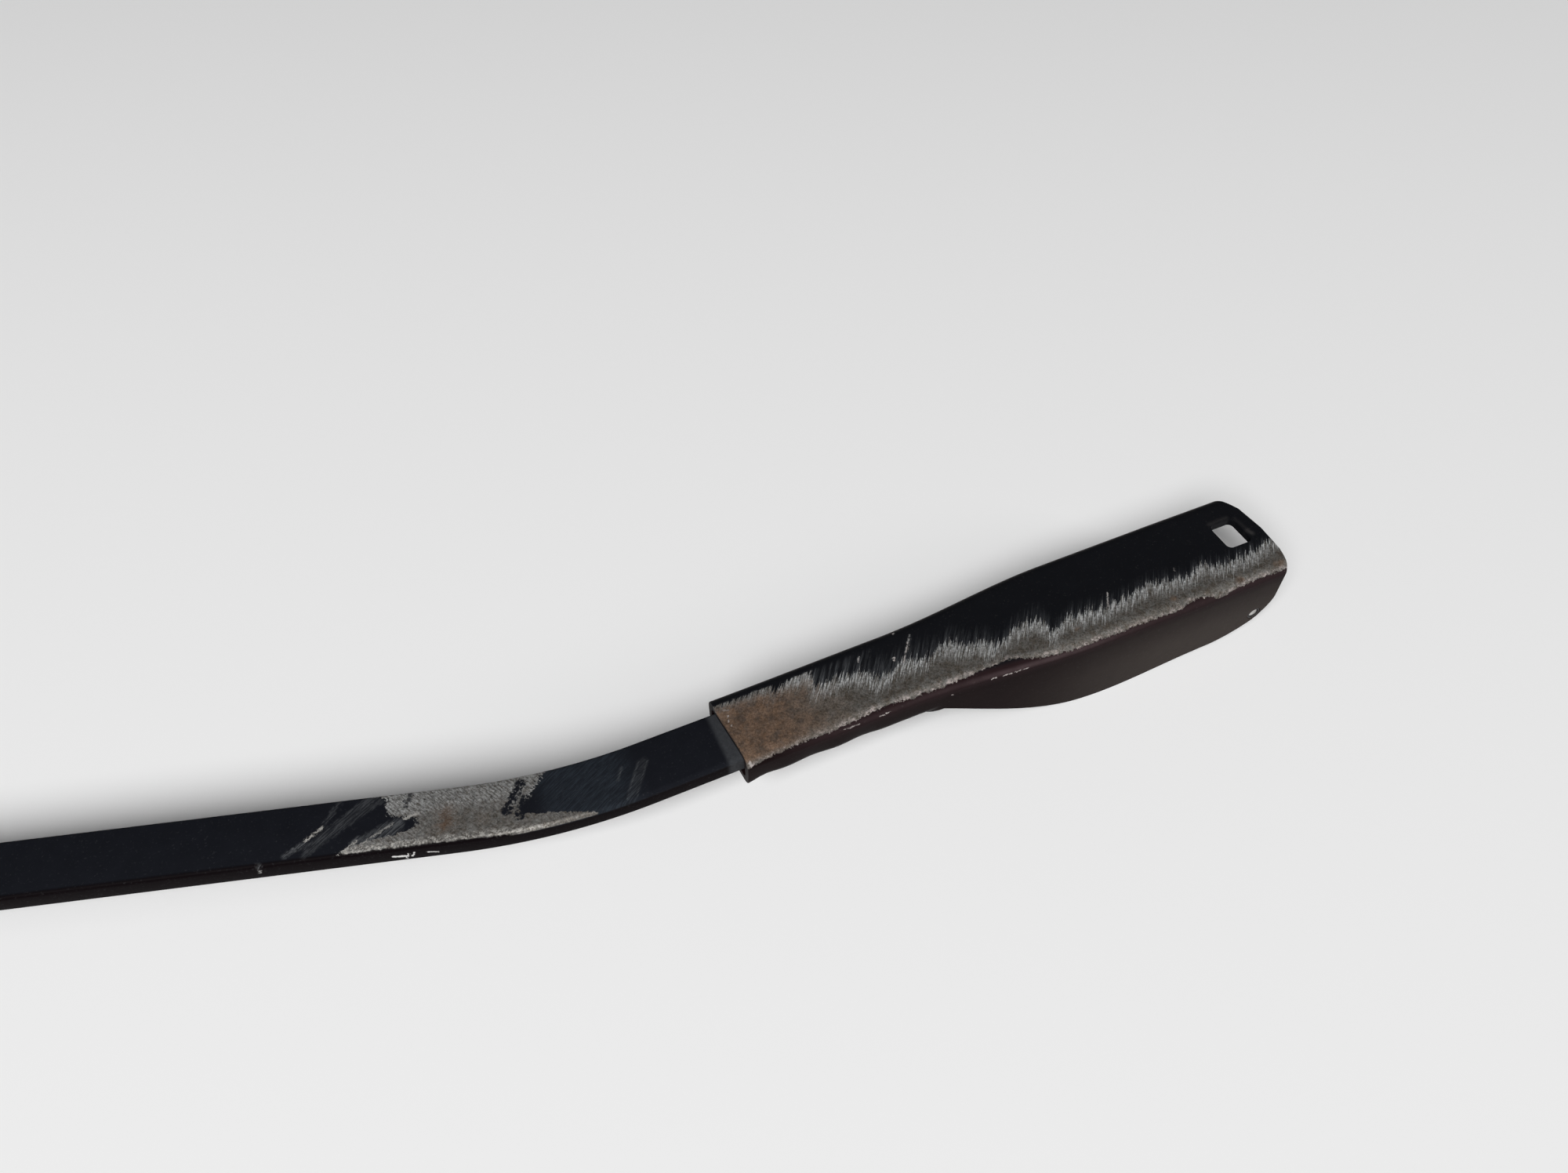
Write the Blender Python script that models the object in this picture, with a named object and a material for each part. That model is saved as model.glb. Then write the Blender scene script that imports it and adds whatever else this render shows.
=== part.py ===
"""Windscreen wiper arm without its mounting head: a pressed steel channel, a flat
tie bar crimped into it, the hinge pin in its two bushes, and the tension spring
with its link. Metres, +Z up, lying web upwards on its channel walls and its hook."""
import bmesh
import bpy
import math
from mathutils import Matrix, Vector

# ---- driving dimensions -------------------------------------------------------------
# While it is modelled, x = 0 is the channel's mouth and +x runs to the hinge end,
# +y is the side that the tie bar bends to, and z = 0 is the tie bar's upper face.
SHEET = 0.0014                 # thickness of the channel's steel
FIT_GAP = 0.0001               # play between the tie bar and the crimped sleeve
BEND_OUT = 0.0020              # outer radius of the folds
CHANNEL_LENGTH = 0.0965
SLEEVE_HALF = 0.0065           # outer half width of the crimped sleeve
FLARE_START, FLARE_END = 0.027, 0.059
FLARE_GROWTH = 0.0022          # what the flare adds to the half width
TAPER_GROWTH = 0.00025         # what the slow taper behind the flare adds
EARS_START = 0.080             # from here on the walls run parallel, for the mounting head
CRIMP_END, OPEN_START = 0.026, 0.0325
LIP_DEVELOPED = 0.0040         # flange length from the bend to the lip's edge
WAIST_DEVELOPED = 0.0015       # the same where the lip runs out
DEEPEST_X, DEEPEST_Z = 0.0635, -0.0147
NOSE_X, NOSE_Z = 0.083, -0.0132   # where the ears' rounded noses start
NOSE_RISE, NOSE_POWER = 0.0076, 1.7   # height of a nose, and how full its curve is
END_BOW = 0.0012               # how far the end edge falls back at its corners
BOW_START = 0.0918

HINGE_X, HINGE_Z = 0.0917, -0.0090
EAR_HOLE_R = 0.0012
PIN_END_R = 0.00085
PIN_JOURNAL_R = 0.00155
BUSH_RIM_R = 0.0017
BUSH_PLAY = 0.00008            # between a bush and the pin's thin end

WINDOW_X, WINDOW_Y = 0.0910, 0.0010
WINDOW_LENGTH, WINDOW_WIDTH = 0.0048, 0.0054
WINDOW_CORNER = 0.0009

BAR_WIDTH, BAR_THICK = 0.009, 0.0034
BAR_EDGE_R = 0.0006
BEND_X = -0.0269               # where the tie bar's two straight runs would meet
BEND_ANGLE = math.radians(17.0)
BEND_RADIUS = 0.090
OUTER_RUN = 0.170              # straight run from the bend to the hook
HOOK_INNER_R = 0.0026
HOOK_RETURN = 0.014
CRANK_START, CRANK_END = 0.0280, 0.0365
NECK_HALF, NECK_START = 0.0032, 0.0230
EYE_X, EYE_Z = 0.0410, -0.0065   # middle of the metal that the spring hooks round
EYE_LIGAMENT = 0.0018
EYE_THICK = 0.0020
EYE_HOLE_R = 0.0016

WIRE_R = 0.0006
COIL_R = 0.0032
COIL_START, COIL_LENGTH, COIL_TURNS = 0.0039, 0.0198, 14.75
LOOP_R = 0.0025
DROOP = math.radians(1.2)        # how far the slack spring hangs below level

LINK_THICK = 0.0020
LINK_EYE_R, LINK_HOLE_R = 0.0029, 0.0013
LINK_HOOK_X, LINK_HOOK_Z = 0.0096, -0.0025
LINK_HOOK_OUT, LINK_HOOK_IN = 0.0047, 0.0023

LINK_PIVOT = COIL_START + COIL_LENGTH + COIL_START - WIRE_R * 0.2 + LOOP_R


def smooth(start, end, value):
    """0 before start, 1 after end, eased between."""
    t = min(1.0, max(0.0, (value - start) / (end - start)))
    return t * t * (3.0 - 2.0 * t)


# ---- scene helpers ----------------------------------------------------------------
def clear_scene():
    for old in list(bpy.data.objects):
        bpy.data.objects.remove(old, do_unlink=True)


def steel(name, colour, roughness, metallic):
    material = bpy.data.materials.new(name)
    material.use_nodes = True
    shader = material.node_tree.nodes["Principled BSDF"]
    shader.inputs["Base Color"].default_value = (*colour, 1.0)
    shader.inputs["Roughness"].default_value = roughness
    shader.inputs["Metallic"].default_value = metallic
    return material


def add_object(name, data, material=None, parent=None):
    item = bpy.data.objects.new(name, data)
    bpy.context.scene.collection.objects.link(item)
    if material:
        data.materials.append(material)
    item.parent = parent
    return item


def mesh_object(name, bm, material=None, parent=None, smooth_angle=35.0):
    bmesh.ops.recalc_face_normals(bm, faces=bm.faces)
    mesh = bpy.data.meshes.new(name)
    bm.to_mesh(mesh)
    bm.free()
    mesh.shade_smooth()
    mesh.set_sharp_from_angle(angle=math.radians(smooth_angle))
    return add_object(name, mesh, material, parent)


def cutter(name, bm, parent):
    item = mesh_object(name, bm, parent=parent)
    item.hide_render = True
    item.display_type = "WIRE"
    return item


def cut(target, tool):
    modifier = target.modifiers.new("cut " + tool.name, "BOOLEAN")
    modifier.operation = "DIFFERENCE"
    modifier.solver = "EXACT"
    modifier.object = tool


def skin(bm, rings):
    """Join rings of the same number of points into one closed body."""
    rows = [[bm.verts.new(point) for point in ring] for ring in rings]
    count = len(rows[0])
    for row, following in zip(rows, rows[1:]):
        for i in range(count):
            j = (i + 1) % count
            bm.faces.new((row[i], row[j], following[j], following[i]))
    bm.faces.new(reversed(rows[0]))
    bm.faces.new(rows[-1])


def prism(bm, outline, direction):
    """Extrude a flat closed outline along a vector."""
    skin(bm, [outline, [point + direction for point in outline]])


def arc(centre_a, centre_b, radius, start, end, steps):
    """Points of an arc in a plane, as pairs; angles in degrees."""
    points = []
    for k in range(steps + 1):
        angle = math.radians(start + (end - start) * k / steps)
        points.append((centre_a + radius * math.cos(angle), centre_b + radius * math.sin(angle)))
    return points


def turned(bm, profile, sides=32):
    """A body of revolution about y from (y, radius) pairs, closed at both ends."""
    rings = []
    for y, radius in profile:
        ring = []
        for k in range(sides):
            angle = 2.0 * math.pi * k / sides
            ring.append(Vector((radius * math.cos(angle), y, radius * math.sin(angle))))
        rings.append(ring)
    skin(bm, rings)


# ---- channel --------------------------------------------------------------------
def half_width(x):
    flare = FLARE_GROWTH * smooth(FLARE_START, FLARE_END, x)
    taper = TAPER_GROWTH * min(1.0, max(0.0, (x - FLARE_END) / (EARS_START - FLARE_END)))
    return SLEEVE_HALF + flare + taper


def lower_edge(x):
    """Height of the walls' lower edge, behind the crimped sleeve."""
    if x < DEEPEST_X:
        start_z = WALL_FOOT - WAIST_DEVELOPED
        turn = 0.5 * math.pi * (x - OPEN_START) / (DEEPEST_X - OPEN_START)
        return start_z + (DEEPEST_Z - start_z) * math.sin(turn)
    if x < NOSE_X:
        return DEEPEST_Z + (NOSE_Z - DEEPEST_Z) * smooth(DEEPEST_X, NOSE_X, x)
    reach = min(1.0, (x - NOSE_X) / (CHANNEL_LENGTH - NOSE_X))
    return NOSE_Z + NOSE_RISE * (1.0 - (1.0 - reach ** NOSE_POWER) ** (1.0 / NOSE_POWER))


WEB_MID = FIT_GAP + SHEET / 2
FOLD_MID = BEND_OUT - SHEET / 2
WALL_FOOT = -(BAR_THICK + FIT_GAP + SHEET / 2) + FOLD_MID   # where the lip's bend starts


def flange(x, side_y):
    """Middle line of the flange below the wall's foot: rolled under the tie bar in the
    sleeve, unrolled to a plain wall behind it. Returns (y, z, normal_y, normal_z)."""
    fold = 0.5 * math.pi * (1.0 - smooth(CRIMP_END, OPEN_START, x))
    if x < OPEN_START:
        run_out = smooth(CRIMP_END, OPEN_START, x)
        developed = LIP_DEVELOPED + (WAIST_DEVELOPED - LIP_DEVELOPED) * run_out
    else:
        developed = WALL_FOOT - lower_edge(x)
    line = []
    steps = 6
    for k in range(1, steps + 1):
        s = developed * k / steps
        turn = min(fold, s / FOLD_MID)
        straight = s - turn * FOLD_MID
        y = side_y - FOLD_MID * (1.0 - math.cos(turn)) - straight * math.sin(turn)
        z = WALL_FOOT - FOLD_MID * math.sin(turn) - straight * math.cos(turn)
        line.append((y, z, math.cos(turn), -math.sin(turn)))
    return line


def half_section(x):
    """Middle line of the sheet from the web's centre to the flange's edge."""
    side_y = half_width(x) - SHEET / 2
    fold_y, fold_z = side_y - FOLD_MID, WEB_MID - FOLD_MID
    line = [(0.0, WEB_MID, 0.0, 1.0), (fold_y * 0.5, WEB_MID, 0.0, 1.0)]
    steps = 4
    for k in range(steps + 1):
        angle = 0.5 * math.pi * (1.0 - k / steps)
        normal = (math.cos(angle), math.sin(angle))
        line.append((fold_y + FOLD_MID * normal[0], fold_z + FOLD_MID * normal[1], *normal))
    line.append((side_y, WALL_FOOT, 1.0, 0.0))
    return line + flange(x, side_y)


def channel_stations():
    sleeve = [0.0, 0.009, 0.018, CRIMP_END]
    roll_out = [CRIMP_END + (OPEN_START - CRIMP_END) * k / 5 for k in range(1, 6)]
    body = [OPEN_START + (DEEPEST_X - OPEN_START) * k / 10 for k in range(1, 11)]
    rear = [DEEPEST_X + (EARS_START - DEEPEST_X) * k / 4 for k in range(1, 5)] + [NOSE_X]
    nose = [NOSE_X + (CHANNEL_LENGTH - NOSE_X) * math.sin(math.radians(10 * k)) for k in range(1, 10)]
    return sleeve + roll_out + body + rear + nose


def make_channel(material, parent):
    bm = bmesh.new()
    outer, inner = [], []
    for x in channel_stations():
        half = half_section(x)
        section = [(-y, z, -ny, nz) for y, z, ny, nz in reversed(half[1:])] + half
        widest = half_width(x) - SHEET / 2
        fall_back = END_BOW * max(0.0, (x - BOW_START) / (CHANNEL_LENGTH - BOW_START))
        out_row, in_row = [], []
        for y, z, ny, nz in section:
            at_x = x - fall_back * min(1.0, abs(y) / widest) ** 5
            out_row.append(bm.verts.new((at_x, y + ny * SHEET / 2, z + nz * SHEET / 2)))
            in_row.append(bm.verts.new((at_x, y - ny * SHEET / 2, z - nz * SHEET / 2)))
        outer.append(out_row)
        inner.append(in_row)
    last = len(outer[0]) - 1
    for i in range(len(outer) - 1):
        for j in range(last):
            bm.faces.new((outer[i][j], outer[i][j + 1], outer[i + 1][j + 1], outer[i + 1][j]))
            bm.faces.new((inner[i][j], inner[i + 1][j], inner[i + 1][j + 1], inner[i][j + 1]))
        for j in (0, last):
            bm.faces.new((outer[i][j], outer[i + 1][j], inner[i + 1][j], inner[i][j]))
    for i in (0, len(outer) - 1):
        for j in range(last):
            bm.faces.new((outer[i][j], outer[i][j + 1], inner[i][j + 1], inner[i][j]))
    channel = mesh_object("arm_channel", bm, material, parent)

    bm = bmesh.new()
    half_l, half_w, corner = WINDOW_LENGTH / 2, WINDOW_WIDTH / 2, WINDOW_CORNER
    outline = []
    for sx, sy, start in ((1, 1, 0), (-1, 1, 90), (-1, -1, 180), (1, -1, 270)):
        centre = (WINDOW_X + sx * (half_l - corner), WINDOW_Y + sy * (half_w - corner))
        outline += [Vector((a, b, -0.002)) for a, b in arc(*centre, corner, start, start + 90, 4)]
    prism(bm, outline, Vector((0, 0, 0.006)))
    cut(channel, cutter("window_cutter", bm, parent))

    bm = bmesh.new()
    turned(bm, [(-0.012, EAR_HOLE_R), (0.012, EAR_HOLE_R)])
    ear_holes = cutter("ear_hole_cutter", bm, parent)
    ear_holes.location = (HINGE_X, 0, HINGE_Z)
    cut(channel, ear_holes)
    return channel


# ---- tie bar ----------------------------------------------------------------------
HOOK_MID_R = HOOK_INNER_R + BAR_THICK / 2
HOOK_HEIGHT = 2 * (HOOK_INNER_R + BAR_THICK)
FALL_ANGLE = math.asin((-DEEPEST_Z - HOOK_HEIGHT) / OUTER_RUN)   # hook and walls reach the same level


def bar_section(centre, across, up, half_width_here, half_thick):
    """Rectangle with rounded corners, as one ring of points."""
    radius = min(BAR_EDGE_R, half_thick * 0.45)
    ring = []
    for sa, su, start in ((1, 1, 0), (-1, 1, 90), (-1, -1, 180), (1, -1, 270)):
        a0, u0 = sa * (half_width_here - radius), su * (half_thick - radius)
        for a, u in arc(a0, u0, radius, start, start + 90, 2):
            ring.append(centre + across * a + up * u)
    return ring


def inner_run_rings():
    """From the rounded eye end, up the crank and through the sleeve to the bend."""
    across, rings = Vector((0, 1, 0)), []
    tip = EYE_X + EYE_LIGAMENT / 2
    drop = EYE_Z + BAR_THICK / 2
    stops = [tip, tip - 0.0003, tip - 0.0009, tip - 0.0018, tip - 0.0030, 0.0375]
    stops += [CRANK_END + (CRANK_START - CRANK_END) * k / 8 for k in range(9)]
    stops += [0.0265, 0.0245, NECK_START, 0.010, 0.0]
    for x in stops:
        eased = smooth(CRANK_START, CRANK_END, x)
        slope = (drop * 6.0 * (x - CRANK_START) * (CRANK_END - x) / (CRANK_END - CRANK_START) ** 3
                 if CRANK_START < x < CRANK_END else 0.0)
        up = Vector((-slope, 0, 1)).normalized()
        neck = smooth(NECK_START, CRANK_START, x)
        half = BAR_WIDTH / 2 + (NECK_HALF - BAR_WIDTH / 2) * neck
        from_tip = min(1.0, (tip - x) / 0.0030)
        half *= 0.50 + 0.50 * math.sqrt(1.0 - (1.0 - from_tip) ** 2)
        thick = BAR_THICK / 2 + (EYE_THICK - BAR_THICK) / 2 * eased
        centre = Vector((x, 0, -BAR_THICK / 2 + drop * eased))
        rings.append(bar_section(centre, across, up, half, thick))
    return rings


def outer_run_rings():
    """The edgewise bend, the long straight run and the hook that takes the blade."""
    rings = []
    tangent = BEND_RADIUS * math.tan(BEND_ANGLE / 2)
    point = Vector((BEND_X + tangent, 0, -BAR_THICK / 2))
    steps = 10
    for k in range(steps + 1):
        turn = BEND_ANGLE * k / steps
        fall = FALL_ANGLE * k / steps
        along = Vector((-math.cos(turn) * math.cos(fall), math.sin(turn) * math.cos(fall), -math.sin(fall)))
        across = Vector((math.sin(turn), math.cos(turn), 0))
        up = along.cross(across) * -1.0
        if k:
            point = point + (along + last_along).normalized() * (BEND_RADIUS * BEND_ANGLE / steps)
        last_along = along
        rings.append(bar_section(point, across, up, BAR_WIDTH / 2, BAR_THICK / 2))
    for k in (1, 2, 3):
        centre = point + along * ((OUTER_RUN - tangent) * k / 3)
        rings.append(bar_section(centre, across, up, BAR_WIDTH / 2, BAR_THICK / 2))
    crown = centre - up * HOOK_MID_R
    for k in range(1, 13):
        turn = math.pi * k / 12
        normal = up * math.cos(turn) + along * math.sin(turn)
        rings.append(bar_section(crown + normal * HOOK_MID_R, across, normal, BAR_WIDTH / 2, BAR_THICK / 2))
    foot = crown - up * HOOK_MID_R
    narrowing = ((0.0080, 1.0), (0.0020, 1.0), (0.0008, 0.90), (0.0, 0.70))   # towards the hook's tip
    for from_tip, share in narrowing:
        place = foot - along * (HOOK_RETURN - from_tip)
        rings.append(bar_section(place, across, -up, BAR_WIDTH / 2 * share, BAR_THICK / 2))
    return rings


def make_tie_bar(material, parent):
    bm = bmesh.new()
    skin(bm, inner_run_rings() + outer_run_rings())
    bar = mesh_object("tie_bar", bm, material, parent)
    bm = bmesh.new()
    centre_x = EYE_X - EYE_LIGAMENT / 2 - EYE_HOLE_R
    outline = [Vector((a, b, EYE_Z - 0.004)) for a, b in arc(centre_x, 0, EYE_HOLE_R, 0, 360, 24)[:-1]]
    prism(bm, outline, Vector((0, 0, 0.008)))
    cut(bar, cutter("eye_cutter", bm, parent))
    return bar


# ---- hinge ------------------------------------------------------------------------
def make_hinge_pin(material, parent):
    """Shouldered pin: a journal between the ears and thin ends in the bushes."""
    bm = bmesh.new()
    ear_out = half_width(HINGE_X)
    shoulder = ear_out - SHEET - 0.00055
    end = ear_out - 0.00020
    side = [(end, PIN_END_R * 0.55), (end - 0.0001, PIN_END_R * 0.86), (end - 0.0003, PIN_END_R),
            (shoulder, PIN_END_R), (shoulder, PIN_JOURNAL_R - 0.0002), (shoulder - 0.0002, PIN_JOURNAL_R)]
    turned(bm, side + [(-y, radius) for y, radius in reversed(side)])
    pin = mesh_object("hinge_pin", bm, material, parent)
    pin.location = (HINGE_X, 0, HINGE_Z)
    return pin


def make_bush(name, side, material, parent):
    """Flanged liner that sits in one ear's hole, flange inwards."""
    bm = bmesh.new()
    ear_out = half_width(HINGE_X)
    bore, sleeve, rim = PIN_END_R + BUSH_PLAY, EAR_HOLE_R - 0.00005, BUSH_RIM_R
    inner_face = ear_out - SHEET
    section = [(ear_out - 0.0001, bore), (ear_out - 0.0001, sleeve), (inner_face - 0.0001, sleeve),
               (inner_face - 0.0001, rim), (inner_face - 0.00045, rim), (inner_face - 0.00045, bore)]
    sides = 32
    rings = []
    for k in range(sides):
        angle = 2.0 * math.pi * k / sides
        direction = Vector((math.cos(angle), 0, math.sin(angle)))
        rings.append([bm.verts.new(direction * r + Vector((0, side * y, 0))) for y, r in section])
    for k in range(sides):
        row, following = rings[k], rings[(k + 1) % sides]
        for i in range(len(section)):
            j = (i + 1) % len(section)
            bm.faces.new((row[i], row[j], following[j], following[i]))
    bush = mesh_object(name, bm, material, parent)
    bush.location = (HINGE_X, 0, HINGE_Z)
    return bush


# ---- spring and link ----------------------------------------------------------------
def bezier(p0, p1, p2, p3, steps):
    points = []
    for k in range(1, steps):
        t = k / steps
        s = 1.0 - t
        points.append(p0 * s ** 3 + p1 * 3 * s * s * t + p2 * 3 * s * t * t + p3 * t ** 3)
    return points


def spring_path():
    """Middle line of the wire: upright loop, close coil, flat loop; x along the coil."""
    coil = []
    per_turn = 12
    total = round(COIL_TURNS * per_turn)
    for k in range(total + 1):
        angle = 0.5 * math.pi + 2.0 * math.pi * k / per_turn
        x = COIL_START + COIL_LENGTH * k / total
        coil.append(Vector((x, COIL_R * math.cos(angle), COIL_R * math.sin(angle))))
    upright = [Vector((LOOP_R * math.cos(math.radians(a)), 0, LOOP_R * math.sin(math.radians(a))))
               for a in range(330, 89, -20)]
    flat_x = LINK_PIVOT - LOOP_R
    flat = [Vector((flat_x + LOOP_R * math.cos(math.radians(a)), LOOP_R * math.sin(math.radians(a)), 0))
            for a in range(90, -151, -20)]
    lead_in = bezier(upright[-1], upright[-1] + Vector((0.0016, 0, 0.0003)),
                     coil[0] + Vector((-0.0006, 0.0016, 0.0001)), coil[0], 5)
    lead_out = bezier(coil[-1], coil[-1] + Vector((0.0006, 0.0001, 0.0016)),
                      flat[0] + Vector((-0.0016, 0.0003, 0)), flat[0], 5)
    return upright + lead_in + coil + lead_out + flat


def make_spring(material, parent):
    curve = bpy.data.curves.new("tension_spring", "CURVE")
    curve.dimensions = "3D"
    curve.bevel_depth = WIRE_R
    curve.bevel_resolution = 1
    curve.use_fill_caps = True
    path = spring_path()
    spline = curve.splines.new("POLY")
    spline.points.add(len(path) - 1)
    for point, place in zip(spline.points, path):
        point.co = (*place, 1.0)
    return add_object("tension_spring", curve, material, parent)


def link_outline():
    """Side view of the link: eye at the pivot, neck, and a hook open below."""
    hook = (LINK_HOOK_X, LINK_HOOK_Z)
    outline = arc(0, 0, LINK_EYE_R, 62, 298, 12)
    outline += arc(*hook, LINK_HOOK_IN, 165, -70, 12)
    tip_r = (LINK_HOOK_OUT - LINK_HOOK_IN) / 2
    tip_mid = (LINK_HOOK_OUT + LINK_HOOK_IN) / 2
    tip_angle = math.radians(-70)
    tip = (hook[0] + tip_mid * math.cos(tip_angle), hook[1] + tip_mid * math.sin(tip_angle))
    outline += arc(*tip, tip_r, 110, 290, 6)[1:-1]
    outline += arc(*hook, LINK_HOOK_OUT, -70, 108, 12)
    return outline


def make_link(material, parent):
    bm = bmesh.new()
    half = LINK_THICK / 2
    prism(bm, [Vector((a, -half, b)) for a, b in link_outline()], Vector((0, LINK_THICK, 0)))
    link = mesh_object("spring_link", bm, material, parent)
    bm = bmesh.new()
    turned(bm, [(-0.004, LINK_HOLE_R), (0.004, LINK_HOLE_R)], sides=20)
    cut(link, cutter("link_eye_cutter", bm, parent))
    return link


# ---- assembly ---------------------------------------------------------------------
def stand_on_ground(frame):
    """Move the whole arm so that it rests on z = 0, centred on the origin."""
    bpy.context.view_layer.update()
    depsgraph = bpy.context.evaluated_depsgraph_get()
    low, high = Vector((1e9,) * 3), Vector((-1e9,) * 3)
    for item in bpy.context.scene.objects:
        if item.type not in {"MESH", "CURVE"} or item.hide_render:
            continue
        evaluated = item.evaluated_get(depsgraph)
        mesh = evaluated.to_mesh()
        for vertex in mesh.vertices:
            place = item.matrix_world @ vertex.co
            low = Vector(map(min, low, place))
            high = Vector(map(max, high, place))
        evaluated.to_mesh_clear()
    frame.location = (-(low.x + high.x) / 2, -(low.y + high.y) / 2, -low.z)


def main():
    clear_scene()
    paint = steel("black_paint", (0.020, 0.023, 0.028), 0.45, 0.0)
    bar_paint = steel("bar_paint", (0.018, 0.021, 0.027), 0.42, 0.0)
    bright = steel("pin_steel", (0.55, 0.54, 0.52), 0.35, 1.0)
    spring_steel = steel("spring_steel", (0.30, 0.29, 0.28), 0.40, 1.0)
    link_steel = steel("link_steel", (0.42, 0.40, 0.36), 0.45, 1.0)
    nylon = steel("bush_nylon", (0.015, 0.015, 0.015), 0.55, 0.0)

    frame = add_object("arm_frame", None)
    make_channel(paint, frame)
    make_tie_bar(bar_paint, frame)
    make_hinge_pin(bright, frame)
    make_bush("hinge_bush_near", -1, nylon, frame)
    make_bush("hinge_bush_far", 1, nylon, frame)

    spring_pivot = add_object("spring_pivot", None, parent=frame)
    spring_pivot.location = (EYE_X, 0, EYE_Z)
    spring_pivot.rotation_euler = (0, DROOP, 0)
    make_spring(spring_steel, spring_pivot)
    link_pivot = add_object("link_pivot", None, parent=spring_pivot)
    link_pivot.location = (LINK_PIVOT, 0, 0)
    link_pivot.rotation_euler = (0, -DROOP, 0)
    make_link(link_steel, link_pivot)
    stand_on_ground(frame)


main()
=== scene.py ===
import bmesh
import bpy
import math
from mathutils import Matrix, Vector


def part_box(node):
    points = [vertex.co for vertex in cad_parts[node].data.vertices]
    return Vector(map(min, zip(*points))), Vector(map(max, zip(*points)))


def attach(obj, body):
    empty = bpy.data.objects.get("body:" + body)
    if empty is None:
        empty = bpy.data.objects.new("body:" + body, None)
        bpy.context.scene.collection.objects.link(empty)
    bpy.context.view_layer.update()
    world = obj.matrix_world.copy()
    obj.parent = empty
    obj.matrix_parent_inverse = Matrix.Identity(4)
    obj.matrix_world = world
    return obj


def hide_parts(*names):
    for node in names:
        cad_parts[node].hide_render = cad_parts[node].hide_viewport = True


# The looks of a used wiper arm: fine meshes for its seven pieces, worn black paint over
# steel, a pale floor, soft light and the camera. Shapes and wear are given in millimetres
# in the arm's own frame: x = 0 is the channel's mouth and +x runs to the hinge end, +y is
# the side that the flat bar bends to, and z = 0 is the flat bar's upper face.
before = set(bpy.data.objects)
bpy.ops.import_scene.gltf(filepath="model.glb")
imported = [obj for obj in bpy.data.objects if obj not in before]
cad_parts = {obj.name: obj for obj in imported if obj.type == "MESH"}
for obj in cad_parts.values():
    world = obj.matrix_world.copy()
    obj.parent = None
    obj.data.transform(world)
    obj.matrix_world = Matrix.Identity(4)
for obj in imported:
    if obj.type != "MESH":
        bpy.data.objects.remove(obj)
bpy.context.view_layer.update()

MM = 0.001

# ---- the channel ------------------------------------------------------------------
SHEET = 1.4
FIT_GAP = 0.1
BEND_OUT = 2.0
CHANNEL_LENGTH = 96.5
SLEEVE_HALF = 6.5
FLARE_START, FLARE_END, FLARE_GROWTH = 27.0, 59.0, 2.2
TAPER_GROWTH, EARS_START = 0.25, 80.0
CRIMP_END, OPEN_START = 26.0, 32.5
LIP_DEVELOPED, WAIST_DEVELOPED = 4.0, 1.5
DEEPEST_X, DEEPEST_Z = 63.5, -14.7
NOSE_X, NOSE_Z, NOSE_RISE, NOSE_POWER = 83.0, -13.2, 7.6, 1.7
END_BOW, BOW_START, BOW_POWER = 1.5, 91.8, 3.2
FAR_CORNER_CUT = 1.3               # how much further the end edge falls back at the far corner
MOUTH_SKEW, SKEW_FADE = 0.9, 8.0   # how far the mouth's far side reaches past its near side
LIP_DROP, LIP_FADE = 0.7, 3.5      # how far the near lip's corner curls down at the mouth
FAR_SWELL = 0.35                   # how much further the far side bellies out, at its most
SWELL_GROWS, SWELL_EASES = (-2.0, 32.0), (45.0, 90.0)
CRIMP_BITE, CRIMP_PITCH = 0.11, 8.3
HINGE_X, HINGE_Z = 91.7, -9.0
EAR_HOLE_R, PIN_END_R, PIN_JOURNAL_R, BUSH_RIM_R, BUSH_PLAY = 1.2, 0.85, 1.55, 1.7, 0.08
SHOULDER_INSET, PIN_END_INSET, BUSH_FIT = 0.55, 0.16, 0.05
WINDOW_X, WINDOW_Y, WINDOW_LENGTH, WINDOW_WIDTH, WINDOW_CORNER = 91.0, 1.0, 4.8, 5.4, 0.9

# ---- the flat bar -----------------------------------------------------------------
BAR_WIDTH, BAR_THICK, BAR_EDGE_R = 9.0, 3.4, 0.6
BEND_X, BEND_ANGLE, BEND_RADIUS = -26.9, math.radians(17.0), 90.0
OUTER_RUN, HOOK_INNER_R, HOOK_RETURN = 170.0, 2.6, 14.0
# The hook's rounded tip, as (distance from the tip, share of the full width).
HOOK_TIP = ((9.0, 1.0), (5.0, 1.0), (2.0, 1.0), (1.5, 0.98), (1.0, 0.93), (0.6, 0.86), (0.25, 0.77),
            (0.0, 0.68))
CRANK_START, CRANK_END = 28.0, 36.5
NECK_HALF, NECK_START = 3.2, 23.0
EYE_X, EYE_Z, EYE_LIGAMENT, EYE_THICK, EYE_HOLE_R = 41.0, -6.5, 1.8, 2.0, 1.6

# ---- spring and link --------------------------------------------------------------
WIRE_R, COIL_R = 0.6, 3.2
COIL_START, COIL_LENGTH, COIL_TURNS = 3.9, 19.8, 14.75
LOOP_R, DROOP = 2.5, math.radians(1.2)
LINK_THICK, LINK_EYE_R, LINK_HOLE_R = 2.0, 2.9, 1.3
LINK_HOOK_X, LINK_HOOK_Z, LINK_HOOK_OUT, LINK_HOOK_IN = 9.6, -2.5, 4.7, 2.3
LINK_PIVOT = COIL_START + COIL_LENGTH + COIL_START - WIRE_R * 0.2 + LOOP_R

# ---- how far each piece's sharp edges are rounded --------------------------------------
CHANNEL_ROUNDING, BAR_ROUNDING, LINK_ROUNDING = 0.13, 0.12, 0.18
PIN_ROUNDING, BUSH_ROUNDING, WIRE_ROUNDING = 0.02, 0.04, 0.03

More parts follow.
